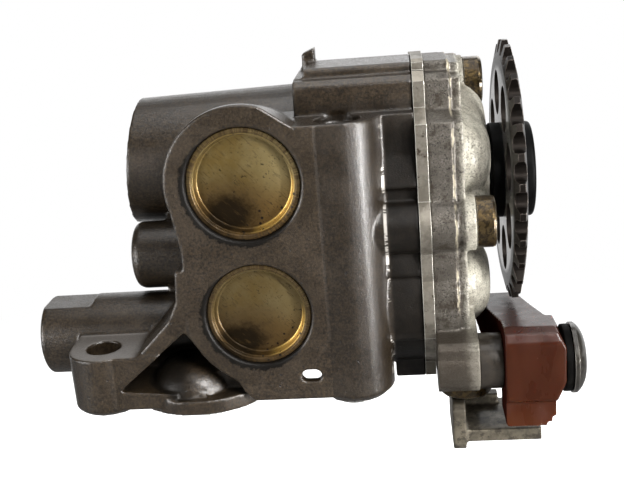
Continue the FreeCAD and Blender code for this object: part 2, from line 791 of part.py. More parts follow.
def make_relief_piston():
    start = piston_start
    end = piston_start + piston_length
    radius = relief_bore_r - piston_gap
    profile = [
        (start, radius - piston_wall), (start, radius), (start + 8, radius), (start + 8, radius - 0.8),
        (start + 10, radius - 0.8), (start + 10, radius), (end - 1, radius), (end, radius - 1), (end, 0),
        (end - 4, 0), (end - 4, radius - piston_wall),
    ]
    return turned(profile, V(0, relief_y, relief_z), axis_x, axis_z)


def make_relief_plug():
    start = relief_end + 1.5
    end = start + relief_plug_length
    profile = [
        (start, 0), (start, relief_bore_r - 1), (start + 1, relief_bore_r), (end, relief_bore_r),
        (end, spring_seat_r), (end - 4, spring_seat_r), (end - 4, 0),
    ]
    plug = turned(profile, V(0, relief_y, relief_z), axis_x, axis_z)
    return plug.cut(hex_cutter(start - 1, start + 3.5, relief_y, relief_z))


def coil(start, end, turns, radius, wire_r, y, z):
    """A helix along the shaft's direction, lofted through many-sided sections of its wire."""
    count = int(turns * coil_steps)
    sections = []
    for i in range(count + 1):
        along = start + (end - start) * i / count
        angle = 2 * math.pi * i / coil_steps
        ring = []
        for side in range(wire_sides + 1):
            turn = 2 * math.pi * (side % wire_sides) / wire_sides
            out = radius + wire_r * math.cos(turn)
            ring.append(V(along + wire_r * math.sin(turn), y + out * math.cos(angle), z + out * math.sin(angle)))
        sections.append(Part.makePolygon(ring))
    return Part.makeLoft(sections, True, True)


def make_relief_spring():
    start = relief_end + 1.5 + relief_plug_length - 4 + relief_wire_r
    end = piston_start + piston_length - 4 - relief_wire_r - 0.1
    return coil(start, end, relief_coils, relief_spring_r, relief_wire_r, relief_y, relief_z)


def make_suction_seal():
    """Rubber ring in its groove just inside the mouth of the suction bore."""
    return Part.makeTorus(suction_bore_r + seal_wire_r, seal_wire_r, V(seal_x, suction_y, suction_z), axis_x)


def make_mounting_dowels():
    sleeves = []
    for x in (lug_hole_x, column_hole_x):
        outer = cylinder_z(0, sleeve_seat_depth, x, front_holes_y, sleeve_seat_r)
        sleeves.append(outer.cut(cylinder_z(-1, sleeve_seat_depth + 1, x, front_holes_y, mounting_hole_r)))
    return Part.makeCompound(sleeves)


def make_pivot_sleeve():
    return tube_x(lug_end, arm_start - arm_side_gap, pivot_y, pivot_z, sleeve_r, pin_r)


def make_pivot_washer():
    start = pin_head_start - washer_thickness
    return tube_x(start, pin_head_start, pivot_y, pivot_z, washer_r, pin_r)


def make_pivot_pin():
    end = pin_head_start + pin_head_height
    centre = V(0, pivot_y, pivot_z)
    shank = turned(
        [(plate_end + 0.5, 0), (plate_end + 0.5, pin_thread_r), (lug_end, pin_thread_r), (lug_end, pin_r),
         (pin_head_start, pin_r), (pin_head_start, 0)],
        centre, axis_x, axis_z,
    )
    # Domed head: a short straight edge, then an arc to the flat middle
    low = V(pin_head_start, pivot_y, pivot_z)
    foot = V(pin_head_start, pivot_y, pivot_z + pin_head_r)
    edge = V(pin_head_start + 1.4, pivot_y, pivot_z + pin_head_r)
    bulge = V(pin_head_start + 4.0, pivot_y, pivot_z + pin_head_r - 3.4)
    crown = V(end, pivot_y, pivot_z + 4.5)
    top = V(end, pivot_y, pivot_z)
    edges = [Part.makeLine(low, foot), Part.makeLine(foot, edge), Part.Arc(edge, bulge, crown).toShape(),
             Part.makeLine(crown, top), Part.makeLine(top, low)]
    head = Part.Face(Part.Wire(edges)).revolve(centre, axis_x, 360)
    return shank.fuse(head).removeSplitter()


def make_tensioner_spring():
    start = arm_start + spring_room_start + torsion_wire_r + 0.2
    end = arm_end - spring_room_end - torsion_wire_r - 0.2
    return coil(start, end, torsion_coils, torsion_coil_r, torsion_wire_r, pivot_y, pivot_z)


def make_tensioner_arm():
    """Hub on the pivot pin, a wedge that runs back under the sprocket, and a lower lug."""
    side = [
        (-52.5, -0.8), (-54.3, 0.8), (-54.3, 21.5), (-52.6, 24.4), (-48.5, 25.6), (-14, 20.0),
        (arm_tip_y - 2, 17.4), (arm_tip_y, 15.5), (arm_tip_y - 1, 11.5), (-12, 5.5), (-27, -0.4), (-31, -0.8),
    ]
    near = [(arm_start, -56), (arm_end, -56), (arm_end, -33), (arm_start, -33)]
    drift = arm_skew * (arm_tip_y + 40)
    beam_plan = [
        (arm_start, -40), (arm_end - 2.8, -40), (arm_end - 2.8 - drift, arm_tip_y + 1),
        (arm_start + 0.3 - drift, arm_tip_y + 1),
    ]
    whole = prism_x(side, 60, 120)
    hub = whole.common(prism_z(near, -10, 40))
    beam = whole.common(prism_z(beam_plan, -10, 40))
    # The hub's outer corners are bevelled
    bevel = prism_y([(arm_end - 3.6, 27), (arm_end, 19.5), (arm_end + 1, 19.5), (arm_end + 1, 28)], -60, -20)
    lower_bevel = prism_y([(arm_end - 3.8, -2), (arm_end + 1, -2), (arm_end + 1, 7), (arm_end, 7)], -60, -20)
    hub = hub.cut(bevel).cut(lower_bevel)
    lug_low = prism_y(
        [(arm_start, 2), (arm_start, -8.8), (arm_start + 0.8, -9.8), (96.8, -9.8), (96.8, -8.2),
         (98.5, -8.2), (98.5, -6.2), (arm_end - 3.1, -6.2), (arm_end - 3.1, 2)],
        -52.6, -38,
    )
    arm = fused([hub, beam, lug_low])
    # Clear of the sleeve, and relieved round the cover's lower boss
    arm = arm.cut(cylinder_x(lug_end, arm_start, pivot_y, pivot_z, sleeve_r + arm_boss_gap))
    arm = arm.cut(driven_dome(arm_boss_gap))
    arm = arm.cut(cylinder_x(arm_start - 1, arm_end + 1, pivot_y, pivot_z, pin_r + running_gap))
    return arm.cut(cylinder_x(arm_start + spring_room_start, arm_end - spring_room_end,
                              pivot_y, pivot_z, spring_room_r))


def make_stop_bracket():
    """Folded steel strip: a tongue under the cover's lug, an upright and a lower shelf."""
    left = plate_end + 4.5
    tongue_top = tongue_low_z + bracket_thickness
    tongue = block(left, lug_end, -43.6, bracket_back_y, tongue_low_z, tongue_top)
    upright = block(left, lug_end + 8, bracket_back_y - bracket_thickness, bracket_back_y,
                    bracket_low_z, tongue_top)
    corner = block(lug_end + 1.3, lug_end + 9, -30, -10, -11, tongue_top + 1)
    shelf = block(left + 4, bracket_end, bracket_front_y, bracket_back_y, bracket_low_z,
                  bracket_low_z + bracket_thickness)
    side = prism_x(
        [(bracket_front_y, bracket_low_z - 1.8), (bracket_front_y - 1.2, bracket_low_z),
         (bracket_front_y - 1.2, -6.5), (bracket_front_y + 1, -4.6), (bracket_back_y, -4.6),
         (bracket_back_y, bracket_low_z - 1.8), (bracket_front_y + 1, bracket_low_z - 3.1)],
        left, left + bracket_thickness,
    )
    whole = fused([tongue, upright.cut(corner), shelf, side])
    hole = cylinder_z(tongue_low_z - 1, tongue_top + 1, bracket_bolt_x, bracket_bolt_y,
                      bracket_bolt_r + bolt_hole_gap)
    room_low_z = tongue_low_z - bracket_bolt_head_height - bolt_hole_gap
    room = cylinder_z(room_low_z, tongue_low_z, bracket_bolt_x, bracket_bolt_y,
                      bracket_bolt_head_r + bolt_hole_gap)
    return whole.cut(hole).cut(room).removeSplitter()


def make_bracket_bolt():
    bottom = tongue_low_z - bracket_bolt_head_height
    profile = [
        (bottom, 0), (bottom, bracket_bolt_head_r - 1), (bottom + 1, bracket_bolt_head_r),
        (tongue_low_z, bracket_bolt_head_r), (tongue_low_z, bracket_bolt_r),
        (bracket_bolt_top, bracket_bolt_r), (bracket_bolt_top, 0),
    ]
    return turned(profile, V(bracket_bolt_x, bracket_bolt_y, 0), axis_z, axis_x)


def make_parts():
    tooth_line = math.atan2(driven_z - drive_z, driven_y)
    half_pitch = math.pi / gear_teeth
    rear_bush = pocket_start - bush_length
    return {
        "pump_housing": make_pump_housing(),
        "port_plate": make_port_plate(),
        "front_cover": make_front_cover(),
        "cover_bolts": make_cover_bolts(),
        "cover_dowels": make_cover_dowels(),
        "upper_core_plug": make_core_plug(0, upper_plug_z, upper_plug_r),
        "lower_core_plug": make_core_plug(lower_plug_x, lower_plug_z, lower_plug_r),
        "drive_rear_bush": make_bush(rear_bush, 0, drive_z),
        "drive_front_bush": make_bush(plate_end, 0, drive_z),
        "driven_rear_bush": make_bush(rear_bush, driven_y, driven_z),
        "driven_front_bush": make_bush(plate_end, driven_y, driven_z),
        "drive_shaft": make_drive_shaft(),
        "driven_shaft": make_driven_shaft(),
        "drive_gear": make_gear(0, drive_z, tooth_line).cut(
            key_box(pocket_start + gear_key_inset, key_length, 0, drive_z)),
        "driven_gear": make_gear(driven_y, driven_z, tooth_line + math.pi + half_pitch).cut(
            key_box(pocket_start + gear_key_inset, key_length, driven_y, driven_z)),
        "drive_gear_key": key_box(pocket_start + gear_key_inset, key_length, 0, drive_z),
        "driven_gear_key": key_box(pocket_start + gear_key_inset, key_length, driven_y, driven_z),
        "drive_sprocket": make_drive_sprocket(),
        "sprocket_hub": make_sprocket_hub(),
        "hub_collar": make_hub_collar(),
        "hub_key": make_hub_key(0),
        "relief_piston": make_relief_piston(),
        "relief_spring": make_relief_spring(),
        "relief_plug": make_relief_plug(),
        "suction_seal": make_suction_seal(),
        "mounting_dowels": make_mounting_dowels(),
        "pivot_pin": make_pivot_pin(),
        "pivot_sleeve": make_pivot_sleeve(),
        "pivot_washer": make_pivot_washer(),
        "tensioner_spring": make_tensioner_spring(),
        "tensioner_arm": make_tensioner_arm(),
        "stop_bracket": make_stop_bracket(),
        "bracket_bolt": make_bracket_bolt(),
    }


for name, shape in make_parts().items():
    shape.translate(V(-origin_x, -front_holes_y, 0))
    shape.exportStep(f"parts/{name}.step")
    box = shape.BoundBox
    print(name, len(shape.Solids), shape.isValid(), round(shape.Volume / 1000, 2),
          [round(v, 1) for v in (box.XMin, box.XMax, box.YMin, box.YMax, box.ZMin, box.ZMax)])
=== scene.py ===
import bpy
import bmesh
import json
import math
import numpy as np
from mathutils import Matrix, Vector


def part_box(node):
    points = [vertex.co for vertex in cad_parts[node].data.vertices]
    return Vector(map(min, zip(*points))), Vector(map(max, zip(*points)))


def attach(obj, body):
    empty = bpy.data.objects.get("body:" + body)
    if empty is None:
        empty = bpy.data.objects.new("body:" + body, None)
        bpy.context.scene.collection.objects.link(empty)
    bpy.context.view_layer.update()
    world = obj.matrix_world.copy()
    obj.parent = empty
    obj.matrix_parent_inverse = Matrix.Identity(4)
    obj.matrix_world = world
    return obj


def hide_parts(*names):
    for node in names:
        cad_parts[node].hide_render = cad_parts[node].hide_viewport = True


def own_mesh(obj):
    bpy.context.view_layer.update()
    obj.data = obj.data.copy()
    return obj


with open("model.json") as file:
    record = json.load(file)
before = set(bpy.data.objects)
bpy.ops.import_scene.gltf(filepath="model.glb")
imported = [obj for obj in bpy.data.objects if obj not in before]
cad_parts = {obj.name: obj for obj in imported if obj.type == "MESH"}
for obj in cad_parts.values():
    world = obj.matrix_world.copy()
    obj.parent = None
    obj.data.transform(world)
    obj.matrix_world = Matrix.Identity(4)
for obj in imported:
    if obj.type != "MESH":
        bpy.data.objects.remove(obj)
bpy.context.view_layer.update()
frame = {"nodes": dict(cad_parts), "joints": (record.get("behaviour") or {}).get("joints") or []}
nodes = frame["nodes"]
print("pump frame loaded:", len(nodes), "nodes")

# Places on the pump, in metres

joints = {joint["name"]: joint for joint in frame["joints"]}


# A measure of the frame, rounded to a micrometre
def micrometre(value):
    return round(value, 6)


# The point at x = 0 on the axis that a joint turns about, which runs along x
def axisOf(jointName):
    _, y, z = joints[jointName]["pos_m"]
    return Vector((0.0, y, z))


def middleOf(node):
    low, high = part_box(node)
    return [micrometre((a + b) / 2) for a, b in zip(low, high)]


driveShaft = axisOf("drive_spin")
pivotPin = axisOf("tensioner_swing")
reliefBore = Vector((0.0, *middleOf("relief_spring")[1:]))

plugInset = 0.0013      # how far behind the block's face a core plug's front lies
plugFace = micrometre(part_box("upper_core_plug")[0][1] - plugInset)
plugs = {
    "upper_core_plug": {
        "age": 0.0,                            # share of dull brown over the zinc
        "stainPlace": (-0.0060, 0, -0.0104),   # where oil has dried, from the centre
    },
    "lower_core_plug": {
        "age": 0.4,
        "stainPlace": (-0.0074, 0, -0.0104),
    },
}
for plugName, plug in plugs.items():
    low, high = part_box(plugName)
    middle = middleOf(plugName)
    plug["centre"] = (middle[0], plugFace, middle[2])
    plug["radius"] = micrometre((high[0] - low[0]) / 2)

partingLine = 0.0822                           # x where the cover's mould halves met
# right of here the block's face lies deeper
faceStep = {"x": 0.0370, "width": 0.0005, "depth": 0.00025}


def mm(*values):
    return tuple(value / 1000 for value in values)


# Mesh helpers

def addPiece(name, mesh, material, body, slotName, *replaced):
    piece = bpy.data.objects.new(name, mesh)
    bpy.context.scene.collection.objects.link(piece)
    mesh.materials.clear()
    mesh.materials.append(material)
    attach(piece, body)
    if replaced:
        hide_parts(*replaced)
    return piece


def shadeByAngle(mesh, degrees):
    for polygon in mesh.polygons:
        polygon.use_smooth = True
    work = bmesh.new()
    work.from_mesh(mesh)
    limit = math.radians(degrees)
    for edge in work.edges:
        edge.smooth = len(edge.link_faces) == 2 and edge.calc_face_angle(0) < limit
    work.to_mesh(mesh)
    work.free()


def finishedMesh(name, work, smoothBelow):
    bmesh.ops.recalc_face_normals(work, faces=work.faces)
    mesh = bpy.data.meshes.new(name)
    work.to_mesh(mesh)
    work.free()
    shadeByAngle(mesh, smoothBelow)
    return mesh


# Rounds each inner corner of an open outline of (along, out) points.
# share is the most of a side that a corner may take.
def roundCorners(profile, radius, steps=4, share=0.45):
    points = [Vector(p) for p in profile]
    result = [points[0]]
    for before, corner, after in zip(points, points[1:], points[2:]):
        toBefore, toAfter = before - corner, after - corner
        cut = min(radius, toBefore.length * share, toAfter.length * share)
        start = corner + toBefore.normalized() * cut
        end = corner + toAfter.normalized() * cut
        for i in range(steps + 1):
            t = i / steps
            result.append(start * (1 - t) ** 2 + corner * 2 * t * (1 - t) + end * t * t)
    result.append(points[-1])
    return result


# Turns (along, radius) points, in metres, about an axis through origin
def turnedMesh(name, profile, origin, axis, steps=96):
    axis = Vector(axis)
    side = axis.orthogonal().normalized()
    turns = [Matrix.Rotation(2 * math.pi * i / steps, 3, axis) @ side for i in range(steps)]
    work = bmesh.new()
    rings = []
    for along, radius in profile:
        centre = Vector(origin) + axis * along
        around = turns if radius > 0 else turns[:1]
        rings.append([work.verts.new(centre + turn * radius) for turn in around])
    for low, high in zip(rings, rings[1:]):
        for i in range(steps):
            j = (i + 1) % steps
            if len(high) == 1:
                work.faces.new((low[i], low[j], high[0]))
            else:
                work.faces.new((low[i], low[j], high[j], high[i]))
    return finishedMesh(name, work, smoothBelow=40)


# Round wire wound along x
def coilMesh(name, coil, centre, stepsPerTurn=36, sides=10):
    count = int(coil["turns"] * stepsPerTurn)
    alongX = Vector((1, 0, 0))
    work = bmesh.new()
    rings = []
    for i in range(count + 1):
        angle = 2 * math.pi * i / stepsPerTurn
        out = Vector((0, math.cos(angle), math.sin(angle)))
        start = Vector((coil["start"] + (coil["end"] - coil["start"]) * i / count, centre.y, centre.z))
        middle = start + out * coil["radius"]
        around = [2 * math.pi * k / sides for k in range(sides)]
        rings.append([work.verts.new(middle + (out * math.cos(a) + alongX * math.sin(a)) * coil["wire"])
                      for a in around])
    for low, high in zip(rings, rings[1:]):
        for k in range(sides):
            work.faces.new((low[k], low[(k + 1) % sides], high[(k + 1) % sides], high[k]))
    work.faces.new(rings[0])
    work.faces.new(rings[-1])
    return finishedMesh(name, work, smoothBelow=50)


def pointsOf(mesh):
    points = np.zeros(len(mesh.vertices) * 3)
    mesh.vertices.foreach_get("co", points)
    return points.reshape(-1, 3)


def setPoints(mesh, points):
    mesh.vertices.foreach_set("co", points.ravel())
    mesh.update()


# The solid of a node as one even skin of small faces, its doubled points merged first
def evenMesh(name, node, voxel, mergeWithin=2e-6):
    rough = bpy.data.objects.new(name + "_rough", nodes[node].data.copy())
    bpy.context.scene.collection.objects.link(rough)
    work = bmesh.new()
    work.from_mesh(rough.data)
    bmesh.ops.remove_doubles(work, verts=work.verts, dist=mergeWithin)
    work.to_mesh(rough.data)
    work.free()
    remesh = rough.modifiers.new("even", "REMESH")
    remesh.mode = "VOXEL"
    remesh.voxel_size = voxel
    remesh.use_smooth_shade = True
    bpy.context.view_layer.update()
    mesh = bpy.data.meshes.new_from_object(rough.evaluated_get(bpy.context.evaluated_depsgraph_get()))
    mesh.name = name
    bpy.data.objects.remove(rough)
    return mesh


# The solid with the rounded edges of a casting: crisp(points) gives 1 where edges stay sharper
def softenedMesh(name, node, look, crisp=None):
    mesh = evenMesh(name, node, look["voxel"])
    points = pointsOf(mesh)
    count = len(points)
    ends = np.zeros(len(mesh.edges) * 2, int)
    mesh.edges.foreach_get("vertices", ends)
    a, b = ends.reshape(-1, 2).T
    neighbours = np.maximum(np.bincount(np.concatenate([a, b]), minlength=count), 1)[:, None]
    held = (crisp(points) if crisp else np.zeros(count)) > 0.5
    crispPasses = 3                                # passes that the held edges get too
    for i in range(look["passes"]):
        weight = np.where(held & (i >= crispPasses), 0.0, 1.0)[:, None]
        for share in (0.55, -0.5):                 # in and out again, so nothing shrinks
            total = np.stack([np.bincount(a, points[b, k], count) + np.bincount(b, points[a, k], count)
                              for k in range(3)], 1)
            points = points + (total / neighbours - points) * share * weight
    setPoints(mesh, points)
    for polygon in mesh.polygons:
        polygon.use_smooth = True
    return mesh


# Material helpers

def addNode(tree, kind, inputs=None, **settings):
    node = tree.nodes.new("ShaderNode" + kind)
    for key, value in settings.items():
        setattr(node, key, value)
    for key, value in (inputs or {}).items():
        if isinstance(value, bpy.types.NodeSocket):
            tree.links.new(value, node.inputs[key])
        else:
            node.inputs[key].default_value = value
    return node


def place(tree):
    return addNode(tree, "TexCoord").outputs["Object"]


def separate(tree, vector):
    return addNode(tree, "SeparateXYZ", {0: vector}).outputs


def coordinate(tree, axis):
    return separate(tree, place(tree))[axis]


def facing(tree, axis, kind="True Normal"):
    return separate(tree, addNode(tree, "NewGeometry").outputs[kind])[axis]


# A soft pattern whose patches are about size metres across
def noise(tree, size, detail=3.0, roughness=0.6, stretch=(1, 1, 1), offset=0.0):
    mapping = addNode(tree, "Mapping", {"Vector": place(tree), "Scale": stretch, "Location": (offset,) * 3})
    return addNode(tree, "TexNoise", {"Vector": mapping.outputs[0], "Scale": 1 / size, "Detail": detail,
                                      "Roughness": roughness}).outputs["Fac"]


def spread(tree, value, low, high, toLow=0.0, toHigh=1.0):
    return addNode(tree, "MapRange", {"Value": value, "From Min": low, "From Max": high, "To Min": toLow,
                                      "To Max": toHigh}, interpolation_type="SMOOTHSTEP").outputs["Result"]


def blendColour(tree, share, first, second):
    node = addNode(tree, "Mix", data_type="RGBA")
    for index, value in ((0, share), (6, first), (7, second)):
        if isinstance(value, bpy.types.NodeSocket):
            tree.links.new(value, node.inputs[index])
        elif index == 0:
            node.inputs[0].default_value = value
        else:
            node.inputs[index].default_value = (*value, 1)
    return node.outputs[2]


def calculate(tree, how, first, second=0.0):
    return addNode(tree, "Math", {0: first, 1: second}, operation=how).outputs[0]


def multiply(tree, first, *others):
    for other in others:
        first = calculate(tree, "MULTIPLY", first, other)
    return first


def add(tree, first, second):
    return calculate(tree, "ADD", first, second)


def subtract(tree, first, second):
    return calculate(tree, "SUBTRACT", first, second)


def larger(tree, first, *others):
    for other in others:
        first = calculate(tree, "MAXIMUM", first, other)
    return first


def combineVectors(tree, how, first, second):
    return addNode(tree, "VectorMath", {0: first, 1: second}, operation=how).outputs[0]


def vectorLength(tree, vector):
    return addNode(tree, "VectorMath", {0: vector}, operation="LENGTH").outputs["Value"]


# The way from a point to the surface, without the axes where keep is 0
def wayFrom(tree, point, keep):
    return combineVectors(tree, "MULTIPLY", combineVectors(tree, "SUBTRACT", place(tree), point), keep)


# 1 inside a region: each axis has its faded border, from the place of 0 to the place of 1
def within(tree, borders):
    faded = [spread(tree, coordinate(tree, axis), *border) for axis, border in borders.items()]
    return multiply(tree, *faded)


def newFinish(name, metallic, coat=0.0, coatRoughness=0.1):
    finish = bpy.data.materials.new(name)
    finish.use_nodes = True
    tree = finish.node_tree
    shader = tree.nodes["Principled BSDF"]
    shader.inputs["Metallic"].default_value = metallic
    shader.inputs["Coat Weight"].default_value = coat
    shader.inputs["Coat Roughness"].default_value = coatRoughness
    return finish, tree, shader


def connect(tree, shader, sockets):
    for name, socket in sockets.items():
        tree.links.new(socket, shader.inputs[name])


def roundedNormal(tree, radius):
    return addNode(tree, "Bevel", {"Radius": radius}, samples=6).outputs[0]


# 1 along sharp edges, 0 on flat and gently curved faces
def edgeMask(tree, radius):
    normal = addNode(tree, "NewGeometry").outputs["Normal"]
    dot = addNode(tree, "VectorMath", {0: roundedNormal(tree, radius), 1: normal}, operation="DOT_PRODUCT")
    return spread(tree, dot.outputs["Value"], 0.98, 0.80)


def bump(tree, height, strength, distance, normal=None):
    inputs = {"Height": height, "Strength": strength, "Distance": distance}
    if normal is not None:
        inputs["Normal"] = normal
    return addNode(tree, "Bump", inputs).outputs[0]


# Finish of the iron casting

castIron = {
    "dark": (0.0075, 0.0048, 0.0024),
    "light": (0.042, 0.0274, 0.0138),
    "worn": (0.42, 0.39, 0.35),
    # painted light on the lug's top
    "faced": (0.20, 0.185, 0.17),
    "pit": (0.008, 0.006, 0.005),
    # colour of oil and of painted shade
    "oilAndShade": (0.006, 0.005, 0.004),
    "metallic": 0.30,
    "coat": 0.95,
    "roughness": 0.42,
    # metres across one patch of each pattern
    "patch": 0.014,
    "mottle": 0.0028,
    "speck": 0.0009,
    "wornPatch": 0.005,
    "pitSize": 0.0016,
    "filmPatch": 0.00055,
    "grain": 0.0006,
    # other sizes in metres
    "grainDepth": 0.0001,
    "wornEdge": 0.0011,
    "shadeReach": 0.010,
    "ringWidth": 0.0022,    # oil round each plug
    # the chamber's side between the block and the cover, darkened with painted shade and oil
    "chamberSide": {"X": (0.0585, 0.0600), "Y": (0.020, 0.012), "Z": (0.104, 0.088)},
    # painted shadow over the left half of the rounded boss in the lug's pocket
    "boss": (-0.0141, 0.0048, 0),
    "bossBorder": (0.0170, 0.0158),
    "bossShade": {"X": (-0.0170, -0.0090, 0.9, 0.0), "Z": (0.019, 0.016)},
    # painted light on the lug's upward faces, round the bolt's seat
    "seat": {"X": (-0.0300, -0.0330), "Z": (0.0208, 0.0214)},
    "seatTop": (0.0230, 0.0224),
    # the top of the deeper face, which gets painted shade
    "stepTop": (0.1035, 0.1015),
    # the column's right edge: bright dashes of painted highlight and knocked metal
    "edgeX": 0.0583,
    "edgeWidth": (0.0007, 0.0003),
    "edgeRegion": {"Y": (0.012, 0.009), "Z": (0.0960, 0.0945)},
}


# The way across a plug's face from its centre, and the length of that way
def fromPlug(tree, plug):
    way = wayFrom(tree, plug["centre"], (1, 0, 1))
    return way, vectorLength(tree, way)


# Oil that crept out of the joint round a plug, most of it low and to the left
def oilRing(tree, plug, mottle):
    way, radius = fromPlug(tree, plug)
    across = separate(tree, way)
    low = spread(tree, add(tree, across["X"], across["Z"]), 0.010, -0.020, 0.12, 1.0)
    width = multiply(tree, low, castIron["ringWidth"], spread(tree, mottle, 0.3, 0.7, 0.6, 1.3))
    beyond = subtract(tree, subtract(tree, radius, plug["radius"]), width)
    nearFace = spread(tree, coordinate(tree, "Y"), -0.002, -0.006)
    return multiply(tree, spread(tree, beyond, 0.0005, -0.0004), nearFace)


# Painted shade in sheltered corners and over the pocket's boss, painted shade with oil on the chamber's
# side, and black oil on the places that the oil reaches
def ironOilAndShade(tree, mottle):
    look = castIron
    shelter = addNode(tree, "AmbientOcclusion", {"Distance": look["shadeReach"]}, samples=6).outputs["AO"]
    # painted shade: darker where the surface is sheltered
    corners = multiply(tree, spread(tree, shelter, 0.62, 0.22), 0.85)
    # the chamber's side: painted shade and oil
    side = multiply(tree, within(tree, look["chamberSide"]), spread(tree, mottle, 0.3, 0.7, 0.75, 1.0))
    toBoss = vectorLength(tree, wayFrom(tree, look["boss"], (1, 1, 0)))
    # painted shadow over the boss's left half
    shade = multiply(tree, within(tree, look["bossShade"]), spread(tree, toBoss, *look["bossBorder"]))
    rings = [oilRing(tree, plug, mottle) for plug in plugs.values()]
    return larger(tree, corners, side, shade, *rings)


def castIronFinish():
    look = castIron
    finish, tree, shader = newFinish("oily_cast_iron", look["metallic"])
    patches = spread(tree, noise(tree, look["patch"], 4, 0.6), 0.36, 0.66)
    mottle = noise(tree, look["mottle"], 4, 0.72, offset=0.2)
    specks = noise(tree, look["speck"], 4, 0.75, offset=0.7)
    skinPattern = add(tree, multiply(tree, patches, 0.05),
                      add(tree, multiply(tree, mottle, 0.20), multiply(tree, specks, 0.75)))
    colour = blendColour(tree, spread(tree, skinPattern, 0.35, 0.66), look["dark"], look["light"])
    # painted shade: the block's face is darker where it lies deeper
    stepEnd = faceStep["x"] + faceStep["width"]
    deeperFaceShade = within(tree, {"X": (faceStep["x"], stepEnd), "Z": look["stepTop"]})
    colour = blendColour(tree, multiply(tree, deeperFaceShade, 0.45), colour, look["dark"])
    worn = multiply(tree, edgeMask(tree, look["wornEdge"]),
                    spread(tree, noise(tree, look["wornPatch"], 4, 0.7, offset=0.6), 0.48, 0.60))
    colour = blendColour(tree, worn, colour, look["worn"])
    pits = spread(tree, noise(tree, look["pitSize"], 2, 0.5, offset=0.9), 0.30, 0.22)
    colour = blendColour(tree, pits, colour, look["pit"])
    # painted light: the lug's upward faces made lighter
    seat = multiply(tree, within(tree, look["seat"]), spread(tree, facing(tree, "Z", "Normal"), 0.8, 0.95),
                    spread(tree, coordinate(tree, "Z"), *look["seatTop"]))
    colour = blendColour(tree, multiply(tree, seat, 0.55), colour, look["faced"])
    # painted shade and oil: they darken the colour and thin the oil film
    oilAndShade = ironOilAndShade(tree, mottle)
    colour = blendColour(tree, oilAndShade, colour, look["oilAndShade"])
    # bright dashes along the column's right edge: painted highlight and knocked metal
    offEdge = calculate(tree, "ABSOLUTE", subtract(tree, coordinate(tree, "X"), look["edgeX"]))
    broken = noise(tree, look["wornPatch"], 4, 0.7, (0.3, 0.3, 1), offset=0.35)
    edgeGlintsAndChips = multiply(tree, spread(tree, offEdge, *look["edgeWidth"]), spread(tree, broken, 0.50, 0.56),
                     within(tree, look["edgeRegion"]))
    colour = blendColour(tree, edgeGlintsAndChips, colour, look["worn"])
    # the oil film comes and goes over the grain
    wet = noise(tree, look["filmPatch"], 2, 0.6, offset=1.7)
    film = multiply(tree, spread(tree, oilAndShade, 0.0, 1.0, look["coat"], 0.03),
                    spread(tree, wet, 0.42, 0.58, 0.35, 1.05))
    grain = noise(tree, look["grain"], 4, 0.75)
    roughness = spread(tree, add(tree, grain, multiply(tree, patches, 0.3)), 0.4, 1.0,
                       look["roughness"] - 0.10, look["roughness"] + 0.12)
    skin = bump(tree, subtract(tree, grain, multiply(tree, pits, 0.6)), 1.0, look["grainDepth"])
    connect(tree, shader, {
        "Base Color": colour, "Roughness": roughness, "Normal": skin,
        "Specular IOR Level": spread(tree, oilAndShade, 0.0, 1.0, 0.5, 0.22),
        "Coat Weight": film, "Coat Normal": skin,
        "Coat Roughness": spread(tree, wet, 0.42, 0.60, 0.18, 0.06),
    })
    return finish


# Finish of the die-cast cover

dieCast = {
    "flange": (0.130, 0.118, 0.100),
    "flangeSecond": (0.066, 0.057, 0.046),
    # the domes' lighter colours: their own tone with painted light
    "dome": (0.42, 0.400, 0.328),
    "domeSecond": (0.30, 0.277, 0.224),
    "pore": (0.020, 0.016, 0.012),
    "oil": (0.034, 0.025, 0.016),
    "seam": (0.42, 0.37, 0.27),
    "edge": (0.52, 0.49, 0.40),
    "metallic": 0.60,
    "domeMetallic": 0.30,
    "domeStart": (0.0835, 0.0880),    # x where the dull flange gives way to the bright domes
    "bossHeight": (0.0240, 0.0215),   # z below which the pivot's boss is oily
    "seamFoot": (0.024, 0.028),
    "grain": 0.0007,
    "grainDepth": 0.00022,
}


# The broken parting line where the mould halves met
def castSeam(tree):
    wander = multiply(tree, noise(tree, 0.003, 3, 0.6, offset=1.1), 0.0012)
    along = add(tree, coordinate(tree, "X"), wander)
    offLine = calculate(tree, "ABSOLUTE", subtract(tree, along, partingLine))
    return multiply(tree, spread(tree, offLine, 0.0006, 0.0002),
                    spread(tree, noise(tree, 0.009, 3, 0.6, offset=0.9), 0.44, 0.54, 0, 0.7),
                    spread(tree, coordinate(tree, "Z"), *dieCast["seamFoot"]))


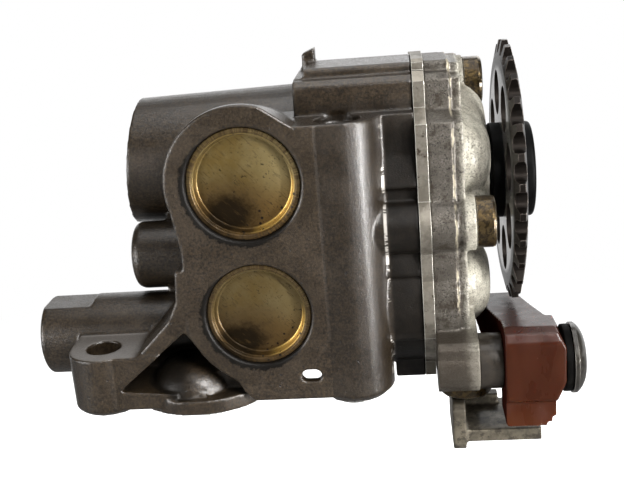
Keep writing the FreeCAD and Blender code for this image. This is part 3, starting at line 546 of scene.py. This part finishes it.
def dieCastFinish():
    look = dieCast
    finish, tree, shader = newFinish("die_cast_alloy", look["metallic"], coat=0.2, coatRoughness=0.2)
    patches = spread(tree, noise(tree, 0.008, 5, 0.7), 0.36, 0.66)
    ragged = add(tree, coordinate(tree, "X"), multiply(tree, noise(tree, 0.006, 3, 0.6), 0.003))
    dome = spread(tree, ragged, *look["domeStart"])
    # the domes' lighter colour is their own tone with painted light
    colour = blendColour(tree, dome, blendColour(tree, patches, look["flange"], look["flangeSecond"]),
                         blendColour(tree, patches, look["dome"], look["domeSecond"]))
    specks = multiply(tree, spread(tree, noise(tree, 0.0007, 3, 0.7, offset=0.15), 0.42, 0.62, 0.70, 0.0),
                      spread(tree, dome, 0, 1, 1.0, 0.35))
    colour = blendColour(tree, specks, colour, look["flangeSecond"])
    pores = spread(tree, noise(tree, 0.0006, 3, 0.6), 0.45, 0.37)
    openPores = multiply(tree, pores, spread(tree, dome, 0, 1, 0.8, 0.5))
    colour = blendColour(tree, openPores, colour, look["pore"])
    oil = multiply(tree, spread(tree, noise(tree, 0.005, 5, 0.72, offset=0.5), 0.52, 0.64),
                   spread(tree, dome, 0, 1, 0.8, 0.35))
    lowBoss = spread(tree, coordinate(tree, "Z"), *look["bossHeight"], 0, 0.70)
    colour = blendColour(tree, larger(tree, oil, lowBoss), colour, look["oil"])
    colour = blendColour(tree, castSeam(tree), colour, look["seam"])
    colour = blendColour(tree, edgeMask(tree, 0.0008), colour, look["edge"])
    grain = noise(tree, look["grain"], 4, 0.65)
    roughness = add(tree, spread(tree, grain, 0.3, 0.7, 0.32, 0.46), multiply(tree, dome, 0.25))
    skin = bump(tree, subtract(tree, grain, multiply(tree, pores, 0.9)), 0.8, look["grainDepth"])
    connect(tree, shader, {
        "Base Color": colour, "Roughness": roughness, "Normal": skin,
        "Metallic": spread(tree, dome, 0, 1, look["metallic"], look["domeMetallic"]),
    })
    return finish


# Finish of the core plugs: yellow zinc, with oil dried low in the dish

goldPlug = {
    "gold": (0.200, 0.134, 0.040),
    "pale": (0.245, 0.185, 0.080),
    "amber": (0.230, 0.122, 0.022),
    # painted light on the plug's right side
    "litSideTone": (0.38, 0.30, 0.14),
    "crescent": (0.78, 0.52, 0.14),
    "rim": (0.060, 0.037, 0.015),
    "haze": (0.060, 0.036, 0.015),
    "stain": (0.016, 0.011, 0.006),
    "roughness": 0.33,
    "rimStart": 0.885,                 # shares of the radius between which the duller rim begins
    "rimFull": 0.915,
    "stainReach": (0.0122, 0.0072),    # metres from the stain's middle: faded out, full
    "hazeReach": (0.0225, 0.0080),
}


# Distance from the middle of the dried oil, uneven as its border is
def stainDistance(tree, way, plug):
    away = combineVectors(tree, "SUBTRACT", way, plug["stainPlace"])
    distance = vectorLength(tree, combineVectors(tree, "MULTIPLY", away, (0.72, 1, 1.0)))
    return add(tree, distance, multiply(tree, noise(tree, 0.004, 5, 0.75, offset=0.4), 0.007))


# Fine scratches that run up to the right
def fineScratches(tree):
    slanted = addNode(tree, "VectorRotate", {"Vector": place(tree), "Axis": (0, 1, 0), "Angle": -0.8})
    stretched = combineVectors(tree, "MULTIPLY", slanted.outputs[0], (0.25, 1, 1.4))
    return addNode(tree, "TexNoise", {"Vector": stretched, "Scale": 900.0, "Detail": 4.0,
                                      "Roughness": 0.7}).outputs["Fac"]


# Light caught by the dish's wall, low on the right
def wallCrescent(tree, across, radius, plug):
    edge = plug["radius"]
    wall = multiply(tree, spread(tree, radius, edge - 0.0038, edge - 0.0032),
                    spread(tree, radius, edge - 0.0020, edge - 0.0025))
    rightward = subtract(tree, multiply(tree, across["X"], 0.8), multiply(tree, across["Z"], 0.6))
    return multiply(tree, wall, spread(tree, rightward, 0.0100, 0.0145))


# Drops of oil near the lower right edge
def oilDrops(tree, across):
    cells = addNode(tree, "TexVoronoi", {"Vector": place(tree), "Scale": 520.0}).outputs["Distance"]
    lowRight = subtract(tree, multiply(tree, across["X"], 0.45), across["Z"])
    return multiply(tree, spread(tree, cells, 0.30, 0.22), spread(tree, lowRight, 0.0095, 0.0115),
                    spread(tree, noise(tree, 0.003, 2, 0.5, offset=1.3), 0.46, 0.52))


def goldPlugFinish(name, plug):
    look = goldPlug
    finish, tree, shader = newFinish(name, 0.80, coatRoughness=0.10)
    way, radius = fromPlug(tree, plug)
    across = separate(tree, way)
    patches = spread(tree, noise(tree, 0.009, 5, 0.7), 0.34, 0.66)
    colour = blendColour(tree, patches, look["gold"], look["pale"])
    # painted light: the plug's right side made lighter, less on the older plug
    paintedLitSide = spread(tree, across["X"], -0.002, 0.012, 0.0, 0.6 * (1 - plug["age"]))
    colour = blendColour(tree, paintedLitSide, colour, look["litSideTone"])
    colour = blendColour(tree, spread(tree, across["Z"], 0.004, -0.012, 0, 0.85), colour, look["amber"])
    colour = blendColour(tree, plug["age"], colour, look["rim"])
    # marks run outward across the rim
    rim = spread(tree, radius, plug["radius"] * look["rimStart"], plug["radius"] * look["rimFull"])
    outward = addNode(tree, "VectorMath", {0: way}, operation="NORMALIZE").outputs[0]
    marks = addNode(tree, "TexNoise", {"Vector": outward, "Scale": 26.0, "Detail": 3.0, "Roughness": 0.7})
    marked = multiply(tree, rim, spread(tree, marks.outputs["Fac"], 0.36, 0.60, 0.45, 1.0))
    colour = blendColour(tree, marked, colour, look["rim"])
    # the dried oil: black in its middle, brown for some way round
    distance = stainDistance(tree, way, plug)
    core = spread(tree, distance, *look["stainReach"])
    haze = spread(tree, distance, *look["hazeReach"])
    colour = blendColour(tree, multiply(tree, haze, 0.72), colour, look["haze"])
    colour = blendColour(tree, multiply(tree, core, 0.98), colour, look["stain"])
    specks = multiply(tree, spread(tree, noise(tree, 0.0009, 3, 0.6, offset=0.8), 0.42, 0.36),
                      spread(tree, noise(tree, 0.006, 3, 0.6, offset=2.1), 0.50, 0.62, 0.15, 1.0))
    colour = blendColour(tree, multiply(tree, specks, 0.85), colour, look["stain"])
    crescent = wallCrescent(tree, across, radius, plug)
    colour = blendColour(tree, multiply(tree, crescent, 0.80), colour, look["crescent"])
    drops = oilDrops(tree, across)
    colour = blendColour(tree, drops, colour, look["stain"])
    scratches = fineScratches(tree)
    colour = blendColour(tree, spread(tree, scratches, 0.56, 0.66, 0, 0.65), colour, look["rim"])
    scratched = spread(tree, scratches, 0.3, 0.7, look["roughness"] - 0.06, look["roughness"] + 0.10)
    skin = bump(tree, add(tree, scratches, multiply(tree, drops, 2.0)), 0.22, 0.00008)
    connect(tree, shader, {
        "Base Color": colour, "Normal": skin,
        "Roughness": add(tree, scratched, multiply(tree, larger(tree, core, rim), 0.12)),
        "Specular IOR Level": spread(tree, core, 0, 1, 0.5, 0.0),
        "Coat Weight": spread(tree, core, 0, 1, 0.25, 0.04),
    })
    return finish


# Finish of the sprocket: ground faces, dark and oily teeth

sprocketLook = {
    "face": (0.44, 0.435, 0.425),
    "faceSecond": (0.32, 0.315, 0.305),
    "rim": (0.010, 0.0074, 0.0056),
    "glint": (0.38, 0.32, 0.28),
    "rimStart": 0.0372,     # radius where the dark, oily teeth begin
    "rimEnd": 0.0400,
}


def sprocketFinish():
    look = sprocketLook
    finish, tree, shader = newFinish("sprocket_steel", 0.85, coatRoughness=0.12)
    radius = vectorLength(tree, wayFrom(tree, driveShaft, (0, 1, 1)))
    ragged = add(tree, radius, multiply(tree, noise(tree, 0.004, 4, 0.7), 0.0022))
    wall = spread(tree, calculate(tree, "ABSOLUTE", facing(tree, "X")), 0.9, 0.5)
    rim = larger(tree, spread(tree, ragged, look["rimStart"], look["rimEnd"]), wall)
    patches = spread(tree, noise(tree, 0.010, 4, 0.6), 0.38, 0.62)
    colour = blendColour(tree, patches, look["face"], look["faceSecond"])
    colour = blendColour(tree, rim, colour, look["rim"])
    colour = blendColour(tree, multiply(tree, edgeMask(tree, 0.00035), 0.50), colour, look["glint"])
    grain = noise(tree, 0.0005, 3, 0.6)
    connect(tree, shader, {
        "Base Color": colour,
        "Roughness": add(tree, spread(tree, grain, 0.3, 0.7, 0.26, 0.38), multiply(tree, rim, 0.08)),
        "Normal": bump(tree, grain, 0.25, 0.00005, roundedNormal(tree, 0.0004)),
        "Coat Weight": spread(tree, rim, 0, 1, 0.3, 0.12),
    })
    return finish


# Finish of the tensioner arm: red-brown plastic that lets a little light in

redPlastic = {
    "deep": (0.0185, 0.0036, 0.0008),
    "glow": (0.0285, 0.0060, 0.0012),
    "bloom": (0.040, 0.014, 0.010),
    "warm": (0.056, 0.0135, 0.0028),
    "inner": (0.014, 0.0036, 0.0024),
    "dust": (0.45, 0.38, 0.34),
    "lightInside": 0.15,
    "lightReach": (0.006, 0.0015, 0.0005),
    "footHeight": (0.004, -0.014),
}


def redPlasticFinish():
    look = redPlastic
    finish, tree, shader = newFinish("red_brown_plastic", 0.0, coatRoughness=0.12)
    shader.inputs["Subsurface Weight"].default_value = look["lightInside"]
    shader.inputs["Subsurface Radius"].default_value = look["lightReach"]
    shader.inputs["Subsurface Scale"].default_value = 0.5
    streaks = noise(tree, 0.005, 3, 0.5, (1, 1, 0.3))
    colour = blendColour(tree, spread(tree, streaks, 0.20, 0.84), look["deep"], look["glow"])
    # the thinner foot lets more light through, the upper lug keeps a plum bloom
    height = coordinate(tree, "Z")
    foot = multiply(tree, spread(tree, height, *look["footHeight"]), 0.55)
    colour = blendColour(tree, foot, colour, look["warm"])
    bloom = multiply(tree, spread(tree, noise(tree, 0.010, 4, 0.6, offset=0.7), 0.40, 0.70),
                     add(tree, spread(tree, height, 0.018, 0.024, 0.0, 0.7),
                         spread(tree, height, 0.001, -0.003, 0.0, 0.5)))
    colour = blendColour(tree, bloom, colour, look["bloom"])
    dust = spread(tree, noise(tree, 0.0014, 2, 0.5, offset=0.2), 0.74, 0.80)
    colour = blendColour(tree, multiply(tree, dust, 0.5), colour, look["dust"])
    colour = blendColour(tree, multiply(tree, edgeMask(tree, 0.0008), 0.6), colour, look["warm"])
    # the wall that faces the cover is matt and darker
    inner = spread(tree, facing(tree, "X"), -0.6, -0.9)
    colour = blendColour(tree, inner, colour, look["inner"])
    # faces that look up shine more
    shine = spread(tree, facing(tree, "Z", "Normal"), 0.3, 0.8, 0.18, 0.45)
    connect(tree, shader, {
        "Base Color": colour,
        "Roughness": add(tree, spread(tree, streaks, 0.3, 0.7, 0.24, 0.36), multiply(tree, inner, 0.5)),
        "Normal": bump(tree, noise(tree, 0.0022, 3, 0.5), 0.10, 0.00012),
        "Specular IOR Level": multiply(tree, shine, spread(tree, inner, 0, 1, 1.0, 0.0)),
        "Coat Weight": spread(tree, inner, 0, 1, 0.06, 0.0),
    })
    return finish


# Plain finishes: two colours in soft patches, a grain, worn edges and an oil film

usualFinish = {
    "metallic": 1.0, "gloss": 0.5, "oil": 0.0, "patchSize": 0.008, "roughnessSpread": 0.08,
    "stainSize": 0.003, "stainFrom": 0.58, "stainShare": 1, "edgeRadius": 0.0006, "rounding": 0.0003,
    "grainSize": 0.0006, "grainStretch": (1, 1, 1), "grainStrength": 0.25, "grainDepth": 0.00006,
}

plainFinishes = {
    "ground_plate": {
        "colour": (0.26, 0.235, 0.195), "second": (0.135, 0.120, 0.096), "stain": (0.05, 0.036, 0.025),
        "edge": (0.62, 0.60, 0.54), "stainFrom": 0.57, "stainSize": 0.005,
        "roughness": 0.44, "oil": 0.15, "metallic": 0.8, "grainStretch": (3, 1, 1)},
    "gold_bolt": {
        "colour": (0.100, 0.067, 0.026), "second": (0.050, 0.034, 0.017), "stain": (0.014, 0.011, 0.008),
        "edge": (0.60, 0.55, 0.44), "stainFrom": 0.46, "stainSize": 0.0011, "stainShare": 0.75,
        "roughness": 0.36, "patchSize": 0.003, "oil": 0.3, "metallic": 0.85},
    "black_hub": {
        "colour": (0.0012, 0.0012, 0.0012), "second": (0.0024, 0.0024, 0.0023),
        "edge": (0.020, 0.019, 0.018),
        "roughness": 0.50, "metallic": 0.0, "gloss": 0.05, "grainStretch": (0.3, 2, 2)},
    "ground_shaft": {
        "colour": (0.48, 0.47, 0.45), "second": (0.38, 0.37, 0.35), "edge": (0.7, 0.68, 0.65),
        "roughness": 0.26, "oil": 0.3},
    "plain_bronze": {
        "colour": (0.55, 0.36, 0.15), "second": (0.40, 0.26, 0.11), "roughness": 0.34},
    "spring_steel": {
        "colour": (0.22, 0.21, 0.20), "second": (0.13, 0.12, 0.11), "roughness": 0.34, "oil": 0.3},
    "satin_pin": {
        "colour": (0.030, 0.026, 0.020), "second": (0.017, 0.0145, 0.011), "stain": (0.010, 0.008, 0.006),
        "edge": (0.30, 0.28, 0.25), "stainFrom": 0.50, "stainSize": 0.002,
        "roughness": 0.36, "oil": 0.6, "metallic": 0.5, "rounding": 0.0006},
    "oily_sleeve": {
        "colour": (0.032, 0.025, 0.018), "second": (0.018, 0.014, 0.010), "stain": (0.012, 0.009, 0.006),
        "edge": (0.30, 0.27, 0.22), "stainFrom": 0.55, "stainSize": 0.0020, "stainShare": 0.8,
        "roughness": 0.42, "metallic": 0.4, "oil": 0.3},
    "worn_steel": {
        "colour": (0.125, 0.108, 0.078), "second": (0.055, 0.046, 0.032), "stain": (0.022, 0.017, 0.012),
        "edge": (0.34, 0.31, 0.24), "stainFrom": 0.50, "stainSize": 0.0026, "stainShare": 0.7,
        "roughness": 0.50, "metallic": 0.55, "oil": 0.15, "grainStrength": 0.5, "grainDepth": 0.00010},
    "black_rubber": {
        "colour": (0.012, 0.012, 0.012), "second": (0.022, 0.021, 0.020),
        "roughness": 0.55, "metallic": 0.0},
    "black_washer": {
        "colour": (0.0016, 0.0015, 0.0013), "second": (0.0034, 0.0031, 0.0026),
        "roughness": 0.55, "metallic": 0.0, "gloss": 0.04},
}


def plainFinish(name, changes):
    look = {**usualFinish, **changes}
    finish, tree, shader = newFinish(name, look["metallic"], look["oil"], 0.12)
    shader.inputs["Specular IOR Level"].default_value = look["gloss"]
    patches = spread(tree, noise(tree, look["patchSize"], 4, 0.65), 0.38, 0.62)
    colour = blendColour(tree, patches, look["colour"], look["second"])
    if "stain" in look:
        stains = spread(tree, noise(tree, look["stainSize"], 5, 0.7, offset=0.3),
                        look["stainFrom"], look["stainFrom"] + 0.1, 0, look["stainShare"])
        colour = blendColour(tree, stains, colour, look["stain"])
    if "edge" in look:
        colour = blendColour(tree, edgeMask(tree, look["edgeRadius"]), colour, look["edge"])
    grain = noise(tree, look["grainSize"], 3, 0.6, look["grainStretch"])
    smoothest = look["roughness"] - look["roughnessSpread"]
    roughest = look["roughness"] + look["roughnessSpread"]
    roughness = spread(tree, add(tree, patches, grain), 0.4, 1.4, smoothest, roughest)
    rounded = roundedNormal(tree, look["rounding"])
    normal = bump(tree, grain, look["grainStrength"], look["grainDepth"], rounded)
    connect(tree, shader, {"Base Color": colour, "Roughness": roughness, "Normal": normal})
    return finish


finishes = {name: plainFinish(name, changes) for name, changes in plainFinishes.items()}
finishes["oily_cast_iron"] = castIronFinish()
finishes["die_cast_alloy"] = dieCastFinish()
finishes["sprocket_steel"] = sprocketFinish()
finishes["red_brown_plastic"] = redPlasticFinish()
print("finishes made:", len(finishes))

nodeFinishes = {
    "pump_housing": "oily_cast_iron", "port_plate": "ground_plate", "front_cover": "die_cast_alloy",
    "cover_bolts": "gold_bolt", "cover_dowels": "ground_shaft", "upper_core_plug": "gold_bolt",
    "lower_core_plug": "gold_bolt", "drive_rear_bush": "plain_bronze", "drive_front_bush": "plain_bronze",
    "driven_rear_bush": "plain_bronze", "driven_front_bush": "plain_bronze", "drive_shaft": "ground_shaft",
    "driven_shaft": "ground_shaft", "drive_gear": "ground_shaft", "driven_gear": "ground_shaft",
    "drive_gear_key": "ground_shaft", "driven_gear_key": "ground_shaft", "drive_sprocket": "sprocket_steel",
    "sprocket_hub": "black_hub", "hub_collar": "black_hub", "hub_key": "ground_shaft",
    "relief_piston": "ground_shaft", "relief_spring": "spring_steel", "relief_plug": "ground_shaft",
    "suction_seal": "black_rubber", "mounting_dowels": "ground_shaft", "pivot_pin": "satin_pin",
    "pivot_sleeve": "oily_sleeve", "pivot_washer": "black_washer", "tensioner_spring": "spring_steel",
    "tensioner_arm": "red_brown_plastic", "stop_bracket": "worn_steel", "bracket_bolt": "gold_bolt",
}
for nodeName, finishName in nodeFinishes.items():
    mesh = nodes[nodeName].data
    mesh.materials.clear()
    mesh.materials.append(finishes[finishName])

# Castings, the moulded arm and the folded bracket

housingLook = {
    "voxel": 0.00055,
    "passes": 7,
    # millimetres kept crisp round the plugs' centres and the two bolt holes, in front of a depth
    "plugReach": {"upper_core_plug": 21, "lower_core_plug": 20},
    "plugDepth": -4,
    "holes": {-44.4: 7.6, 44.4: 8.6},
    "faceHeight": 1.0,
    # metres: the lower pad's edge, out from its plug's centre, and the face's front along y
    "lowerPadEdge": (0.0249, 0.0253),
    "faceFront": (-0.0075, -0.0092),
}


# Edges that a cutter left: plug seats, bolt holes and the mounting face
def machinedEdges(points):
    x, y, z = points.T * 1000
    near = z < housingLook["faceHeight"]
    for name, reach in housingLook["plugReach"].items():
        plugX, _, plugZ = (value * 1000 for value in plugs[name]["centre"])
        near |= (np.hypot(x - plugX, z - plugZ) < reach) & (y < housingLook["plugDepth"])
    for holeX, reach in housingLook["holes"].items():
        near |= np.hypot(x - holeX, y) < reach
    return near.astype(float)


def ramp(values, low, high):
    share = np.clip((values - low) / (high - low), 0, 1)
    return share * share * (3 - 2 * share)


# Sets the column's side of the block face back, up to the lower pad's arc
def stepFace(mesh):
    points = pointsOf(mesh)
    x, y, z = points.T
    padX, _, padZ = plugs["lower_core_plug"]["centre"]
    pad = ramp(np.hypot(x - padX, z - padZ), *housingLook["lowerPadEdge"]) * (z < padZ)
    right = ramp(x, faceStep["x"], faceStep["x"] + faceStep["width"])
    points[:, 1] += faceStep["depth"] * np.maximum(right, pad) * ramp(y, *housingLook["faceFront"])
    setPoints(mesh, points)


housingMesh = softenedMesh("cast_housing", "pump_housing", housingLook, machinedEdges)
stepFace(housingMesh)
addPiece("cast_housing", housingMesh, finishes["oily_cast_iron"], "pump", "housing_iron", "pump_housing")
print("housing cast")

coverLook = {"voxel": 0.0005, "passes": 5}
addPiece("cast_cover", softenedMesh("cast_cover", "front_cover", coverLook),
         finishes["die_cast_alloy"], "pump", "cover_alloy", "front_cover")
print("cover cast")

armLook = {"voxel": 0.00045, "passes": 6}
addPiece("moulded_arm", softenedMesh("moulded_arm", "tensioner_arm", armLook),
         finishes["red_brown_plastic"], "tensioner", "arm_plastic", "tensioner_arm")

bracketLook = {"voxel": 0.00045, "passes": 5}
addPiece("folded_bracket", softenedMesh("folded_bracket", "stop_bracket", bracketLook),
         finishes["worn_steel"], "pump", "worn_steel", "stop_bracket")
print("arm moulded, bracket folded")

# Core plugs: a rolled rim with a fine step, a steep wall, then a wide and slightly domed floor

cupLook = {"play": 0.02, "round": 0.3, "steps": 128}


def coreCup(name, plug):
    radius = plug["radius"] * 1000 - cupLook["play"]
    # millimetres in from the block's face, and out from the plug's axis
    profile = [(8.2, radius - 0.8), (7.3, radius), (1.75, radius), (1.35, radius - 0.25),
               (1.25, radius - 0.7), (1.25, radius - 1.5), (1.5, radius - 1.75), (1.75, radius - 1.85),
               (1.8, radius - 2.3), (2.2, radius - 2.5), (4.2, radius - 2.9), (4.7, radius - 3.3),
               (4.6, radius - 4.2), (4.25, radius * 0.5), (3.95, radius * 0.25), (3.85, 0)]
    profile = roundCorners([mm(*p) for p in profile], cupLook["round"] / 1000)
    mesh = turnedMesh("gold_" + name, profile, plug["centre"], (0, 1, 0), cupLook["steps"])
    addPiece("gold_" + name, mesh, goldPlugFinish("gold_zinc_" + name, plug), "pump", "plug_zinc", name)


for plugName, plug in plugs.items():
    coreCup(plugName, plug)
print("core plugs pressed in")

# Turned pieces: millimetres along x from the frame's origin, and out from the axis

turnedPieces = {
    "hub_collar": {
        "axis": driveShaft, "body": "drive", "slot": "hub_black", "finish": "black_hub", "round": 0.5,
        "profile": [(105.5, 8.0), (105.5, 17.38), (110.6, 17.38), (111.45, 17.05), (111.8, 16.2),
                    (111.8, 9.0), (111.0, 8.0), (111.0, 0)]},
    "pivot_sleeve": {
        "axis": pivotPin, "body": "pump", "slot": "worn_steel", "finish": "oily_sleeve", "round": 0.4,
        "profile": [(87.62, 5.0), (87.62, 9.65), (95.58, 9.65), (95.58, 5.0)]},
    "pivot_washer": {
        "axis": pivotPin, "body": "pump", "slot": "washer_black", "finish": "black_washer", "round": 0.5,
        "profile": [(115.92, 5.0), (115.92, 11.6), (118.78, 11.6), (118.78, 5.0)]},
}
for turnedName, look in turnedPieces.items():
    outline = roundCorners([mm(*p) for p in look["profile"]], look["round"] / 1000)
    hollow = outline[-1].y > 0
    if hollow:
        outline.append(outline[0].copy())
    addPiece("turned_" + turnedName, turnedMesh("turned_" + turnedName, outline, look["axis"], (1, 0, 0)),
             finishes[look["finish"]], look["body"], look["slot"], turnedName)

# Springs

reliefCoil = {"start": -0.0647, "end": -0.0162, "turns": 7, "radius": 0.0056, "wire": 0.0009}
spring = addPiece("relief_coil", coilMesh("relief_coil", reliefCoil, reliefBore),
                  finishes["spring_steel"], "pump", "spring_steel", "relief_spring")
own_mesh(spring)

armCoil = {"start": 0.1003, "end": 0.1101, "turns": 4, "radius": 0.0068, "wire": 0.0009}
addPiece("arm_coil", coilMesh("arm_coil", armCoil, pivotPin),
         finishes["spring_steel"], "pump", "spring_steel", "tensioner_spring")
print("springs wound")

# Studio

studio = {
    "floorHeight": -0.095,
    "floorReach": 6.0,
    "floorColour": (0.90, 0.90, 0.90),
    "floorGlow": 0.70,
    "whiteFrom": (0.18, 0.42),       # metres from the pump between which the floor turns pure white
    # what the pump mirrors: a grey cloth in front, white paper behind, a dim room with a bright wall
    "cloth": 0.15,
    "paper": 0.85,
    "paperFrom": (0.12, 0.35),
    "roomFront": 0.05,
    "roomBehind": 0.95,
    "wallFrom": (0.62, 0.93),
}

# where each lamp hangs, what it is aimed at, its width and height, and its watts
lamps = {
    "top_softbox": ((0.05, 0.05, 0.80), (0.02, 0.05, 0.05), (0.8, 0.6), 3.4),
    "key_window": ((0.50, -0.62, 0.62), (0.04, 0.0, 0.06), (0.26, 0.42), 12.0),
    "side_window": ((0.49, -0.29, 0.03), (0.05, -0.01, 0.05), (0.06, 0.26), 5.2),
    "left_softbox": ((-0.62, -0.42, 0.10), (0.0, 0.03, 0.05), (0.40, 0.5), 5.0),
    "back_softbox": ((0.35, 0.70, 0.45), (0.03, 0.05, 0.06), (0.5, 0.4), 1.2),
}


def emission(tree, strength):
    return addNode(tree, "Emission", {"Color": (1, 1, 1, 1), "Strength": strength}).outputs[0]


def mixShaders(tree, share, first, second):
    return addNode(tree, "MixShader", {0: share, 1: first, 2: second}).outputs[0]


def floorFinish():
    finish, tree, shader = newFinish("pale_floor", 0.0)
    shader.inputs["Base Color"].default_value = (*studio["floorColour"], 1)
    shader.inputs["Roughness"].default_value = 0.9
    path = addNode(tree, "LightPath").outputs
    plain = shader.outputs[0]
    # seen by the camera: pale with the pump's shadow, pure white further off
    lit = addNode(tree, "AddShader", {0: plain, 1: emission(tree, studio["floorGlow"])}).outputs[0]
    away = spread(tree, vectorLength(tree, place(tree)), *studio["whiteFrom"])
    seen = mixShaders(tree, away, lit, emission(tree, 1.0))
    # seen in the pump's metal
    cloth = addNode(tree, "BsdfDiffuse", {"Color": (*[studio["cloth"]] * 3, 1)}).outputs[0]
    behind = spread(tree, coordinate(tree, "Y"), *studio["paperFrom"])
    mirrored = mixShaders(tree, behind, cloth, emission(tree, studio["paper"]))
    inMetal = larger(tree, path["Is Glossy Ray"], path["Is Transmission Ray"])
    result = mixShaders(tree, path["Is Camera Ray"], mixShaders(tree, inMetal, plain, mirrored), seen)
    tree.links.new(result, tree.nodes["Material Output"].inputs["Surface"])
    return finish


def layFloor():
    mesh = bpy.data.meshes.new("studio_floor")
    reach, height = studio["floorReach"], studio["floorHeight"]
    corners = [(x * reach, y * reach, height) for x, y in ((-1, -1), (1, -1), (1, 1), (-1, 1))]
    mesh.from_pydata(corners, [], [(0, 1, 2, 3)])
    floor = bpy.data.objects.new("studio_floor", mesh)
    bpy.context.scene.collection.objects.link(floor)
    mesh.materials.append(floorFinish())


def hangLamps():
    for name, (spot, target, size, watts) in lamps.items():
        light = bpy.data.lights.new(name, "AREA")
        light.shape = "RECTANGLE"
        light.size, light.size_y = size
        light.energy = watts
        lamp = bpy.data.objects.new(name, light)
        lamp.location = spot
        bpy.context.scene.collection.objects.link(lamp)
        direction = Vector(target) - lamp.location
        lamp.rotation_euler = direction.to_track_quat("-Z", "Y").to_euler()


def buildRoom():
    world = bpy.data.worlds.new("studio_world")
    world.use_nodes = True
    tree = world.node_tree
    room = tree.nodes["Background"]
    depth = separate(tree, addNode(tree, "TexCoord").outputs["Generated"])["Y"]
    level = spread(tree, depth, *studio["wallFrom"], studio["roomFront"], studio["roomBehind"])
    tree.links.new(level, room.inputs["Strength"])
    room.inputs["Color"].default_value = (1, 1, 1, 1)
    white = addNode(tree, "Background", {"Color": (1, 1, 1, 1), "Strength": 1.0})
    toCamera = addNode(tree, "LightPath").outputs["Is Camera Ray"]
    result = mixShaders(tree, toCamera, room.outputs[0], white.outputs[0])
    tree.links.new(result, tree.nodes["World Output"].inputs["Surface"])
    bpy.context.scene.world = world


layFloor()
hangLamps()
buildRoom()
print("studio set up")

# Camera, at the photo's angle

shot = {
    "place": mm(64.56, -318.17, 156.58),
    "turn": 5.65,           # degrees round towards the sprocket
    "height": 17.44,        # degrees looked down
    "roll": 4.74,
    "focalLength": 57.02,   # millimetres
    "sensorWidth": 36,
    "nearest": 0.01,
    "furthest": 50,
}


def setCamera():
    turn, height, roll = (math.radians(shot[key]) for key in ("turn", "height", "roll"))
    back = Vector((math.sin(turn) * math.cos(height), -math.cos(turn) * math.cos(height), math.sin(height)))
    flatRight = Vector((math.cos(turn), math.sin(turn), 0))
    flatUp = back.cross(flatRight)
    right = flatRight * math.cos(roll) - flatUp * math.sin(roll)
    up = flatRight * math.sin(roll) + flatUp * math.cos(roll)
    lens = bpy.data.cameras.new("shot")
    lens.lens = shot["focalLength"]
    lens.sensor_width = shot["sensorWidth"]
    lens.clip_start, lens.clip_end = shot["nearest"], shot["furthest"]
    camera = bpy.data.objects.new("shot", lens)
    bpy.context.scene.collection.objects.link(camera)
    camera.matrix_world = Matrix((right, up, back)).transposed().to_4x4()
    camera.location = shot["place"]
    bpy.context.scene.camera = camera


setCamera()
bpy.context.scene.view_settings.view_transform = "Standard"

print("pump ready")
